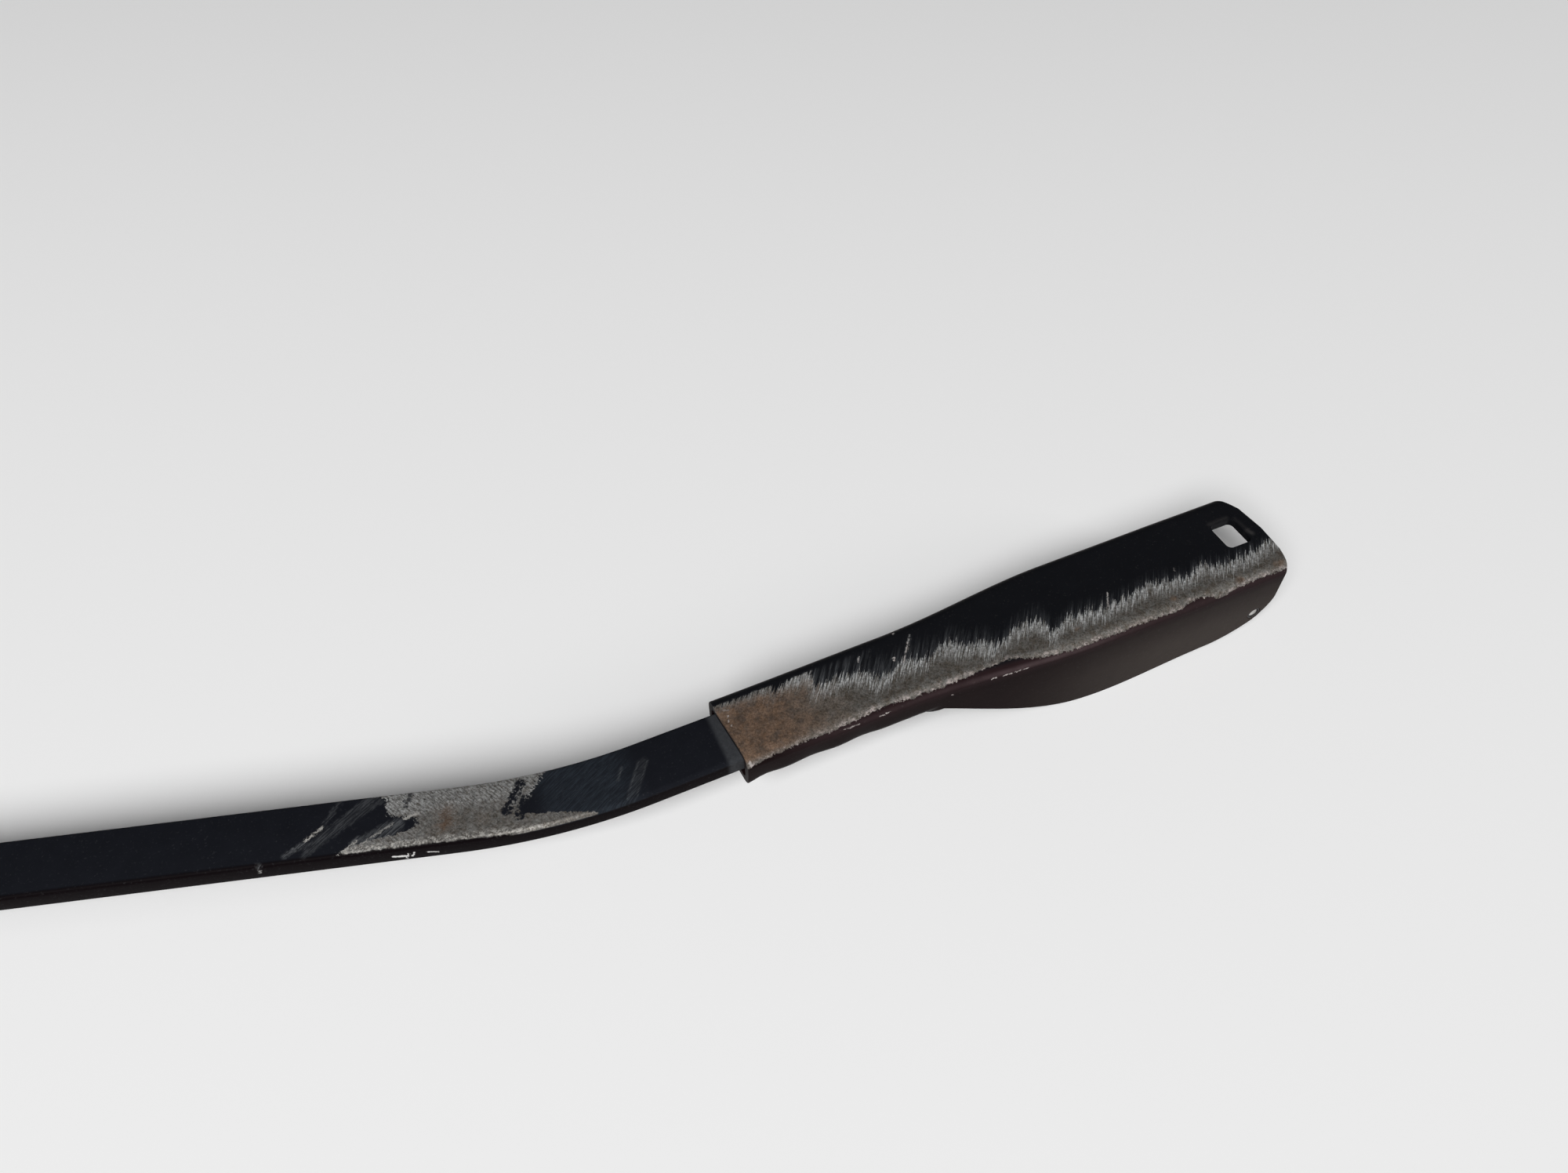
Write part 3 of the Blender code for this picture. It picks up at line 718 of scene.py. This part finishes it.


# ---- the channel's paint, wear and painted light ------------------------------------------
# Upper limit of the bare band, as (place of the streak's foot, y), from the mouth on.
BAND_TOP = (
    (-4, 4.6), (4.0, 4.5), (5.9, 3.4), (7.7, 3.5), (8.8, 4.3), (10.4, 4.4), (12.3, 2.6), (13.8, 1.5),
    (17.5, 1.4), (22.5, 0.4), (25.5, -1.0), (28.5, 0.1), (33, -0.7), (35.2, 0.4), (37.5, 0.0), (39.5, -1.2),
    (42.5, -1.4), (45.5, -3.0), (48, -1.5), (51, -1.2), (54, -2.8), (56.5, -4.4), (58.5, -3.0),
    (62.0, -3.2), (65.2, -3.9), (69.5, -3.3), (74, -2.6), (81.4, -3.9), (83.4, -2.8), (87.4, -4.0),
    (93.4, -4.1), (99.3, -2.9))
# Its lower limit, as (x, distance from the centre line measured round the fold).
BAND_FOOT = ((0, 7.3), (5, 6.5), (18, 6.2), (21, 5.8), (30, 6.2), (42, 6.0), (46, 7.0), (50, 7.9), (56, 8.5),
             (73, 8.6), (77, 8.1), (82, 9.1), (88, 8.6), (97, 8.8))
STREAK_LEAN = 0.75             # how far a streak runs along +x for each millimetre across
# Marks, each (start, end, half width, strength), with places as (x, across).
CHANNEL_CHIPS = (
    ((15.2, -6.9), (17.8, -6.95), 0.07, 1.0), ((21.3, -6.95), (22.9, -6.95), 0.08, 1.0),
    ((40.0, -8.1), (40.8, -8.15), 0.10, 1.0), ((41.8, -8.3), (46.0, -8.55), 0.11, 1.0),
    ((33.4, -8.5), (33.6, -8.6), 0.14, 0.7), ((27.4, 1.0), (27.5, 1.4), 0.18, 1.0),
    ((22.3, 3.0), (22.8, 3.7), 0.10, 0.9), ((29.7, 5.6), (29.7, 5.7), 0.10, 1.0),
    ((63.2, -3.6), (64.6, -1.4), 0.12, 0.9), ((77.3, -1.9), (77.6, -1.5), 0.15, 0.7),
    ((28.5, 0.0), (31.0, 3.3), 0.10, 1.0), ((30.2, 1.8), (31.8, 4.2), 0.16, 0.35))
# Painted glints: small bright spots on the bare steel near the mouth.
MOUTH_GLINT_SPECKS = (
    ((0.25, 1.2), (0.3, 1.35), 0.10, 1.0), ((0.4, 1.9), (0.5, 2.1), 0.10, 1.0),
    ((0.3, 0.3), (0.35, 0.4), 0.08, 0.9), ((0.4, -6.3), (0.7, -7.2), 0.16, 0.7),
    ((6.5, -7.0), (7.8, -6.6), 0.16, 0.8), ((0.3, 3.4), (0.9, 3.0), 0.14, 0.4))
CHANNEL_RUST_SPOTS = (
    ((56.0, -5.5), (56.3, -5.4), 0.35, 0.6), ((73.4, -6.8), (73.8, -6.7), 0.40, 0.6),
    ((85.6, -7.8), (86.2, -7.7), 0.45, 0.7), ((93.6, -7.4), (94.6, -7.6), 0.5, 0.5))
# How far the dull haze reaches above the bare band, and how strong the painted highlight line on the
# near fold is, both as (x, value).
HAZE_REACH = ((0, 0.2), (11, 0.8), (15, 4.0), (32, 4.6), (42, 3.0), (55, 2.8), (75, 2.2), (97, 1.8))
FOLD_HIGHLIGHT_SHARE = ((4, 0.0), (18, 0.30), (34, 0.45), (45, 1.0), (57, 0.9), (64, 0.4), (97, 0.2))
# Painted highlight: lighter, brownish marks on the paint along the window's far and rear edges.
WINDOW_HIGHLIGHT_MARKS = (
    ((88.9, 4.1), (92.6, 4.2), 0.25, 0.55), ((93.8, 3.4), (94.0, 1.0), 0.20, 0.40),
    ((94.0, 0.4), (94.2, -0.4), 0.35, 1.0))


def unrolled(g):
    """Distance from the centre line round the outside of the fold, and the distance from
    the fold's axis, which tells the outer skin from the inner one."""
    flare = g.step(FLARE_START, FLARE_END, g.x) * FLARE_GROWTH
    fold_y = flare + (SLEEVE_HALF - BEND_OUT)
    beyond = g.math("MAXIMUM", g.math("ABSOLUTE", g.y) - fold_y, 0.0)
    above = g.math("MAXIMUM", g.z + (BEND_OUT - WEB_TOP), 0.0)
    turn = g.math("ARCTAN2", beyond, above + 0.0001)
    below = g.math("MAXIMUM", (WEB_TOP - BEND_OUT) - g.z, 0.0)
    round_fold = g.math("MINIMUM", g.math("ABSOLUTE", g.y), fold_y) + turn * BEND_OUT + below
    from_axis = g.math("SQRT", beyond * beyond + above * above)
    return round_fold * g.math("SIGN", g.y), from_axis, fold_y


def channel_material():
    g = Graph("worn_channel_paint")
    across, from_axis, fold_y = unrolled(g)
    outer = g.step(1.25, 1.5, from_axis)
    fine = g.noise(g.place, 1.8, 4.0, 0.65)
    coarse = g.noise(g.place, 0.35, 3.0, 0.6)

    foot = g.x - across * STREAK_LEAN
    wide_streak = g.noise(g.vector(foot * 1.1, across * 0.05, 0.0), 1.0, 3.0, 0.6)
    thin_streak = g.noise(g.vector(foot * 3.4, across * 0.15, 4.0), 1.0, 4.0, 0.8)
    top = g.course(foot, BAND_TOP) + (wide_streak - 0.5) * 2.2 + (thin_streak - 0.5) * 8.0
    top = g.math("MINIMUM", top + (fine - 0.5) * 0.8, 4.5 + (fine - 0.5) * 1.2)
    ragged = g.noise(g.place, 3.2, 3.0, 0.7)
    base = g.course(g.x, BAND_FOOT) * -1.0 + (fine - 0.5) * 1.3 + (coarse - 0.5) * 0.8 + (ragged - 0.5) * 0.9
    bare = g.step(-0.10, 0.14, top - across) * g.step(-0.08, 0.10, across - base) * outer

    crisp_x = g.x + (fine - 0.5) * 1.1
    crisp_across = across + (fine - 0.5) * 0.9
    chips = g.strokes(crisp_x, crisp_across, CHANNEL_CHIPS, 0.12) * outer
    glint_specks = g.strokes(crisp_x, crisp_across, MOUTH_GLINT_SPECKS, 0.12) * outer
    chips = chips * g.step(0.40, 0.52, g.noise(g.place, 2.4, 3.0, 0.7))
    bare = g.math("MAXIMUM", bare, chips)

    reach = g.course(g.x, HAZE_REACH)
    haze_streak = g.noise(g.vector(foot * 1.3, across * 0.08, 9.0), 1.0, 6.0, 0.85)
    above_band = g.step(reach, 0.0, across - top) * g.step(-0.6, -0.1, across - top)
    haze = g.step(0.42, 0.62, haze_streak) * above_band * g.step(4.9, 4.2, across) * outer

    fringe = g.step(2.8, 0.3, top - across) * (0.35 + 0.65 * g.step(4.0, 18.0, g.x))
    streak = g.noise(g.vector(foot * 3.6, across * 0.40, 2.0), 1.0, 4.0, 0.8)
    steel, grain = steel_colour(g, fringe, streak)
    # Chipped steel along the band's lower edge on the fold, made brighter as a painted highlight.
    chipped_foot_highlight = g.step(1.0, 0.1, across - base) * g.step(0.47, 0.60, g.noise(g.place, 1.2, 5.0, 0.8))
    steel = g.mix(chipped_foot_highlight, steel, g.shade(STEEL_CHIPPED_HIGHLIGHT, 0.5 + grain * 0.8))
    # Painted glint: the chips and the bright spots near the mouth get a bright steel colour.
    glint = g.math("MAXIMUM", chips, glint_specks)
    steel = g.mix(glint, steel, CHIP_GLINT)

    rust_zone = g.step(26.0, 1.0, g.x) * g.step(5.2, 2.4, across) * g.step(-7.4, -5.0, across)
    patches = g.noise(g.place, 0.40, 6.0, 0.8)
    rust = g.step(0.05, 0.95, rust_zone + (patches - 0.5) * 1.5 * g.step(30.0, 14.0, g.x)) * 0.86
    rust = rust * (1.0 - glint) * (1.0 - chipped_foot_highlight * 0.7)
    spots = g.strokes(crisp_x, crisp_across, CHANNEL_RUST_SPOTS, 0.4)
    rust = g.math("MAXIMUM", rust, spots)
    rust_mix = g.step(0.36, 0.62, g.noise(g.place, 0.6, 5.0, 0.8))
    rust_tone = g.shade(g.mix(rust_mix, RUST_DARK, RUST_LIGHT), 0.45 + 1.1 * grain)
    steel = g.mix(rust * 0.92, steel, rust_tone)

    down = g.math("ABSOLUTE", across) - fold_y
    near = g.step(1.0, -1.0, across)
    # Painted shade: darker paint on the walls than on the top.
    paint = g.mix(g.step(0.9, 2.2, down), PAINT_TOP, PAINT_SHADED_SIDE)
    # Painted sheen on the near fold's curve, lighter than the walls.
    fold_sheen = g.step(0.4, 1.5, down) * g.step(4.6, 2.4, down) * g.step(2.0, 14.0, g.x) * near
    paint = g.mix(fold_sheen, paint, PAINT_FOLD_SHEEN)
    # Painted highlight: a light line along the near fold's curve, strongest over the middle of the channel.
    highlight_share = g.course(g.x, FOLD_HIGHLIGHT_SHARE)
    line = g.step(1.5, 2.2, down) * g.step(3.0, 2.3, down) * near
    paint = g.mix(line * highlight_share * (0.4 + 0.6 * coarse), paint, FOLD_HIGHLIGHT)
    # Paler paint towards the rear and the lower part of the walls.
    paler_low_rear = g.step(38.0, 78.0, g.x) * (0.35 + 0.65 * g.step(4.0, 12.0, down)) * g.step(3.0, 5.0, down)
    paint = g.mix(paler_low_rear, paint, PAINT_PALER_LOW_REAR)
    paint = g.shade(paint, 0.85 + 0.3 * coarse)
    # Painted highlight along the window's far and rear edges, on the top only.
    rim_highlight = g.strokes(g.x + (fine - 0.5) * 0.6, g.y + (fine - 0.5) * 0.6, WINDOW_HIGHLIGHT_MARKS, 0.45)
    paint = g.mix(rim_highlight * g.step(-0.5, 0.5, g.z), paint, WINDOW_RIM_HIGHLIGHT)
    paint = g.mix(haze * (0.45 + 0.35 * g.step(34.0, 22.0, g.x)), paint, PAINT_WORN)
    dust = g.step(0.62, 0.80, g.noise(g.place, 3.1, 2.0, 0.5))
    paint = g.mix(dust * 0.10, paint, CHANNEL_DUST)

    colour = g.mix(bare, paint, steel)
    roughness = 0.40 + bare * 0.14 + rust * bare * 0.26 + (fine - 0.5) * 0.10 + haze * 0.12
    metallic = bare * (1.0 - rust) * 0.55
    peel = g.bump(g.noise(g.place, 1.1, 2.0, 0.5), 0.012)
    relief = (1.0 - bare) * 0.55 + bare * grain * 0.45 + bare * streak * 0.25
    normal = g.bump(relief, 0.055, peel)
    return g.finish(colour, roughness, metallic, normal, PAINT_SHINE)


# ---- the flat bar's paint, wear and painted light -----------------------------------------
# Where the bare patch past the bend begins and ends, as (across the bar, along it).
PATCH_START = (
    (-4.6, -7.5), (-3.2, -7.0), (-2.5, -6.2), (-2.0, -3.0), (-1.6, 1.0), (-1.1, 4.2), (-0.5, 4.4),
    (1.5, 3.3), (5.5, 1.2))
PATCH_END = (
    (-4.6, 27.6), (-3.9, 28.8), (-3.3, 27.6), (-2.6, 25.2), (-2.1, 22.0), (-1.5, 19.4), (-0.3, 19.2),
    (0.4, 20.8), (1.2, 22.4), (2.2, 23.0), (3.4, 23.1), (4.1, 24.2), (4.6, 25.5))
# Marks, each (start, end, half width, strength), with places as (along, across).
PAINT_ISLANDS = (
    ((4.6, 3.6), (6.4, -0.6), 0.75, 1.0), ((19.9, 3.9), (20.5, 2.2), 0.40, 0.9),
    ((19.2, -0.5), (21.8, -1.3), 0.85, 1.0), ((3.9, 1.0), (4.6, -1.6), 0.75, 1.0))
BAR_SCRAPES = (
    ((25.0, 4.4), (33.0, -2.8), 0.80, 0.18), ((23.8, 3.6), (31.0, -1.5), 0.40, 0.14),
    ((27.5, 1.5), (33.5, -3.6), 0.45, 0.13), ((29.5, 4.4), (31.6, 0.6), 0.25, 0.24),
    ((33.7, -1.7), (36.2, -3.4), 0.30, 0.42), ((21.5, -0.8), (26.5, -3.0), 1.10, 0.30),
    ((39.4, -4.3), (39.9, -4.9), 0.18, 0.4))
BAR_GOUGES = (
    ((31.6, 0.4), (33.7, -1.4), 0.20, 0.9), ((26.7, -2.4), (28.3, -3.6), 0.16, 0.8),
    ((21.9, -0.3), (26.0, -2.9), 0.05, 0.9), ((18.6, 0.9), (20.6, 0.2), 0.14, 0.8))
# Chipped spots on the near side, as (along, height), with a painted glint.
SIDE_FLECKS = (
    ((16.0, -1.9), (17.4, -1.6), 0.12, 1.0), ((19.0, -1.3), (19.5, -2.2), 0.14, 1.0),
    ((19.9, -1.5), (20.3, -2.5), 0.16, 1.0), ((20.3, -2.0), (21.9, -1.8), 0.26, 1.0),
    ((39.6, -1.0), (40.0, -1.6), 0.14, 0.5))
BAR_RUST_SPOTS = (((14.6, 0.5), (14.9, -1.7), 0.9, 1.0), ((9.6, -1.3), (10.0, -0.9), 0.4, 0.45))
# How worn the near upper edge is, which sets how strongly its painted glint shows, as (along, value).
EDGE_WEAR = ((-9, 0.0), (-4, 0.3), (5, 0.5), (13, 0.75), (22, 1.0), (30, 0.6))
# Faint marks between the mouth and the bend, as (x, y).
BAR_INNER_MARKS = (
    ((-17.3, -3.8), (-13.8, 1.2), 0.10, 0.30), ((-15.9, -3.9), (-12.6, 0.9), 0.10, 0.24),
    ((-16.6, -3.8), (-13.2, 1.0), 0.55, 0.09), ((-17.5, -0.5), (-16.4, 1.2), 0.12, 0.22))


def bar_material():
    g = Graph("worn_bar_paint")
    fine = g.noise(g.place, 1.7, 4.0, 0.65)
    coarse = g.noise(g.place, 0.4, 3.0, 0.6)
    from_bend = g.x - BEND_X
    along = from_bend * -math.cos(BEND_ANGLE) + g.y * math.sin(BEND_ANGLE)
    across = from_bend * math.sin(BEND_ANGLE) + g.y * math.cos(BEND_ANGLE)
    fall = g.math("MAXIMUM", along, 0.0) * -math.sin(FALL_ANGLE)
    height = g.z - fall
    upper = g.step(-0.75, -0.45, height)
    near_side = g.step(-0.35, -0.75, height)

    rub_place = g.vector((along + across) * 0.7, (along - across) * 3.0, 3.0)
    rub = g.noise(rub_place, 1.0, 5.0, 0.75)
    jag = (fine - 0.5) * 2.4 + (rub - 0.5) * 2.2
    ragged_a = across + (fine - 0.5) * 1.8
    start = g.course(ragged_a, PATCH_START)
    end = g.course(ragged_a, PATCH_END)
    patch = g.step(-0.15, 0.2, along - start + jag) * g.step(-0.15, 0.2, end - along + jag)
    crisp_s = along + (fine - 0.5) * 1.3
    crisp_a = across + (fine - 0.5) * 1.1
    islands = g.strokes(crisp_s, crisp_a, PAINT_ISLANDS, 0.18)
    islands = islands * g.step(0.38, 0.48, g.noise(g.place, 1.3, 4.0, 0.75))
    scrapes = g.strokes(crisp_s, crisp_a, BAR_SCRAPES, 0.35)
    inner_marks = g.strokes(g.x + (fine - 0.5) * 0.8, g.y + (fine - 0.5) * 0.8, BAR_INNER_MARKS, 0.3)
    hair_place = g.vector((along - across) * 0.25, (along + across) * 3.6, 1.0)
    hair_lines = g.step(0.42, 0.62, g.noise(hair_place, 1.0, 4.0, 0.8))
    light_marks = g.math("MAXIMUM", scrapes, inner_marks)
    gouges = g.strokes(crisp_s, crisp_a, BAR_GOUGES, 0.14) * g.step(0.30, 0.50, fine)
    bare = g.math("MAXIMUM", patch * (1.0 - islands), gouges) * upper
    bare = bare * g.step(-4.25, -3.95, across + (fine - 0.5) * 0.6)
    flecks = g.strokes(crisp_s, height + (fine - 0.5) * 0.9, SIDE_FLECKS, 0.10)
    flecks = flecks * near_side * g.step(0.0, -1.0, across)

    edge = g.step(-2.9, -3.5, across + (fine - 0.5) * 0.9)
    edge = edge * g.course(along, EDGE_WEAR) * upper
    brighter = 0.12 + 0.55 * g.step(-1.0, 2.8, across) + 0.20 * g.step(16.0, 20.0, along)
    steel, grain = steel_colour(g, brighter, (rub - 0.5) * 0.55 + 0.5)
    # Painted glint: the worn near upper edge and the gouges get a bright steel colour.
    sparkle = g.step(0.47, 0.58, g.noise(g.place, 2.2, 4.0, 0.8))
    steel = g.mix(g.math("MAXIMUM", edge * sparkle, gouges), steel, EDGE_GLINT)
    rust = g.strokes(along + (fine - 0.5) * 2.5, across + (fine - 0.5) * 2.5, BAR_RUST_SPOTS, 1.2)
    rust = rust * (0.5 + 0.5 * g.step(0.35, 0.55, g.noise(g.place, 0.9, 4.0, 0.7)))
    rust_mix = g.noise(g.place, 1.2, 4.0, 0.7)
    rust_tone = g.shade(g.mix(rust_mix, RUST_DARK, RUST_LIGHT), 0.35 + 0.8 * grain)
    steel = g.mix(rust * 0.9, steel, rust_tone)
    # Painted glint on the chipped spots of the near side.
    steel = g.mix(flecks, steel, FLECK_GLINT)
    bare = g.math("MAXIMUM", bare, flecks)

    # Painted shade: the bar's sides and its near rounded edge get a much darker copy of the paint.
    shaded_side = g.step(-0.5, -1.0, height)
    shaded_side = g.math("MAXIMUM", shaded_side, g.step(-3.7, -4.2, across))
    paint = g.mix(shaded_side, BAR_TOP, BAR_SIDE_SHADE)
    hazed = g.step(-30.0, -26.0, g.x) * g.step(-13.0, -19.0, g.x) * (1.0 - shaded_side)
    paint = g.mix(hazed * (0.15 + 0.5 * hair_lines), paint, BAR_HAZE)
    paint = g.shade(paint, 0.8 + 0.4 * coarse)
    paint = g.mix(light_marks * (0.10 + 0.90 * hair_lines) * upper, paint, SCRAPE_PALE)
    lip_dust = g.step(-2.6, -1.6, g.x) * g.step(0.6, -0.1, g.x) * (0.4 + fine)
    paint = g.mix(lip_dust * 0.5, paint, PAINT_WORN)
    dust = g.step(0.60, 0.80, g.noise(g.place, 3.3, 2.0, 0.5))
    paint = g.mix(dust * 0.12, paint, BAR_DUST)

    colour = g.mix(bare, paint, steel)
    roughness = 0.50 + rust * 0.2 + (fine - 0.5) * 0.10
    metallic = bare * (1.0 - rust) * 0.55
    peel = g.bump(g.noise(g.place, 1.0, 2.0, 0.5), 0.012)
    relief = (1.0 - bare) * 0.6 + bare * grain * 0.4 + bare * rub * 0.15
    normal = g.bump(relief, 0.05, peel)
    return g.finish(colour, roughness, metallic, normal, PAINT_SHINE)


# ---- small parts' materials ---------------------------------------------------------------
def metal_material(name, dark, light, rust_share, roughness, turned_end=False):
    """Dull steel with stains, fine scratches and a little rust; turned ends get rings."""
    g = Graph(name)
    stain = g.step(0.3, 0.7, g.noise(g.place, 0.7, 4.0, 0.65))
    grain = g.noise(g.place, 4.0, 4.0, 0.7)
    colour = g.shade(g.mix(stain, dark, light), 0.6 + 0.8 * grain)
    rust = g.step(0.62, 0.72, g.noise(g.place, 0.9, 5.0, 0.7)) * rust_share
    colour = g.mix(rust, colour, RUST_LIGHT)
    if turned_end:
        radius = g.math("SQRT", g.x * g.x + g.z * g.z)
        lines = g.math("SINE", radius * 60.0) * 0.25 + 0.5
    else:
        lines = g.noise(g.vector(g.x * 0.3, g.y * 6.0, g.z * 6.0), 1.0, 3.0, 0.6)
    normal = g.bump(lines * 0.5 + grain * 0.5, 0.012)
    return g.finish(colour, roughness + (grain - 0.5) * 0.2 + rust * 0.3, 0.85 - rust * 0.8, normal)


def nylon_material():
    g = Graph("bush_nylon")
    grain = g.noise(g.place, 3.0, 3.0, 0.6)
    colour = g.mix(grain, NYLON_DARK, NYLON_LIGHT)
    return g.finish(colour, 0.45 + grain * 0.2, 0.0, g.bump(grain, 0.01), NYLON_SHINE)


# ---- floor, light and camera --------------------------------------------------------------
def make_floor():
    bm = bmesh.new()
    bmesh.ops.create_grid(bm, x_segments=1, y_segments=1, size=3.0)
    mesh = bpy.data.meshes.new("floor")
    bm.to_mesh(mesh)
    bm.free()
    floor = bpy.data.objects.new("floor", mesh)
    bpy.context.scene.collection.objects.link(floor)
    material = bpy.data.materials.new("pale_floor")
    material.use_nodes = True
    shader = material.node_tree.nodes["Principled BSDF"]
    shader.inputs["Base Color"].default_value = (*FLOOR_PALE, 1.0)
    shader.inputs["Roughness"].default_value = 0.85
    shader.inputs["Specular IOR Level"].default_value = FLOOR_SHINE
    mesh.materials.append(material)


# Soft round lamps, each (name, place, diameter, watts).
LAMPS = (("key", (-1.1, -1.1, 1.6), 1.1, 54.0), ("side", (1.3, -0.9, 0.8), 0.9, 9.0))
HORIZON_LIGHT, OVERHEAD_LIGHT = 0.85, 0.16


def make_area_light(name, place, target, size, power):
    light = bpy.data.lights.new(name, "AREA")
    light.shape = "DISK"
    light.size = size
    light.energy = power
    lamp = bpy.data.objects.new(name, light)
    lamp.location = place
    lamp.rotation_euler = (Vector(place) - target).to_track_quat("Z", "Y").to_euler()
    bpy.context.scene.collection.objects.link(lamp)


def make_world():
    """A little light from near the horizon and less from overhead, so that the dark paint
    stays dark."""
    world = bpy.data.worlds.new("studio")
    world.use_nodes = True
    tree = world.node_tree
    background = tree.nodes["Background"]
    place = tree.nodes.new("ShaderNodeTexCoord")
    parts = tree.nodes.new("ShaderNodeSeparateXYZ")
    fade = tree.nodes.new("ShaderNodeMapRange")
    fade.inputs["From Min"].default_value = 0.25
    fade.inputs["From Max"].default_value = 0.60
    fade.inputs["To Min"].default_value = HORIZON_LIGHT
    fade.inputs["To Max"].default_value = OVERHEAD_LIGHT
    tree.links.new(place.outputs["Generated"], parts.inputs[0])
    tree.links.new(parts.outputs[2], fade.inputs["Value"])
    tree.links.new(fade.outputs[0], background.inputs["Strength"])
    bpy.context.scene.world = world


CAMERA_EYE = Vector((-31.2127, -87.0984, 141.3140))   # in the arm's own frame
CAMERA_AZIMUTH, CAMERA_ELEVATION = math.radians(-24.54), math.radians(49.55)
CAMERA_LENS = 26.32


def make_camera():
    data = bpy.data.cameras.new("camera")
    data.lens = CAMERA_LENS
    data.sensor_width = 36.0
    data.clip_start = 0.005
    data.clip_end = 20.0
    camera = bpy.data.objects.new("camera", data)
    bpy.context.scene.collection.objects.link(camera)
    camera.location = in_arm(*CAMERA_EYE)
    camera.rotation_euler = (math.pi / 2 - CAMERA_ELEVATION, 0.0, CAMERA_AZIMUTH)
    bpy.context.scene.camera = camera


# ---- assembly -------------------------------------------------------------------------------
def place_piece(piece, material, body, node):
    piece.data.materials.clear()
    piece.data.materials.append(material)
    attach(piece, body)
    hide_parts(node)


def main():
    spring_pivot = in_arm(EYE_X, 0, EYE_Z)
    link_pivot = spring_pivot + Matrix.Rotation(DROOP, 3, "Y") @ Vector((LINK_PIVOT * MM, 0, 0))
    pin_steel = metal_material("pin_steel", PIN_DARK, PIN_LIGHT, 0.25, 0.38, turned_end=True)
    spring_steel = metal_material("spring_steel", SPRING_DARK, SPRING_LIGHT, 0.5, 0.36)
    link_steel = metal_material("link_steel", LINK_DARK, LINK_LIGHT, 0.6, 0.42)
    nylon = nylon_material()
    place_piece(make_channel(), channel_material(), "arm", "arm_channel")
    place_piece(make_flat_bar(), bar_material(), "arm", "tie_bar")
    place_piece(make_pin(), pin_steel, "hinge_pin", "hinge_pin")
    place_piece(make_bush("bush_near", -1), nylon, "arm", "hinge_bush_near")
    place_piece(make_bush("bush_far", 1), nylon, "arm", "hinge_bush_far")
    place_piece(make_spring(spring_pivot), spring_steel, "spring", "tension_spring")
    place_piece(make_link(link_pivot), link_steel, "link", "spring_link")

    make_floor()
    target = in_arm(20.0, 0.0, 0.0)
    for name, place, size, power in LAMPS:
        make_area_light(name, place, target, size, power)
    make_world()
    make_camera()
    bpy.context.scene.view_settings.view_transform = "Standard"


main()
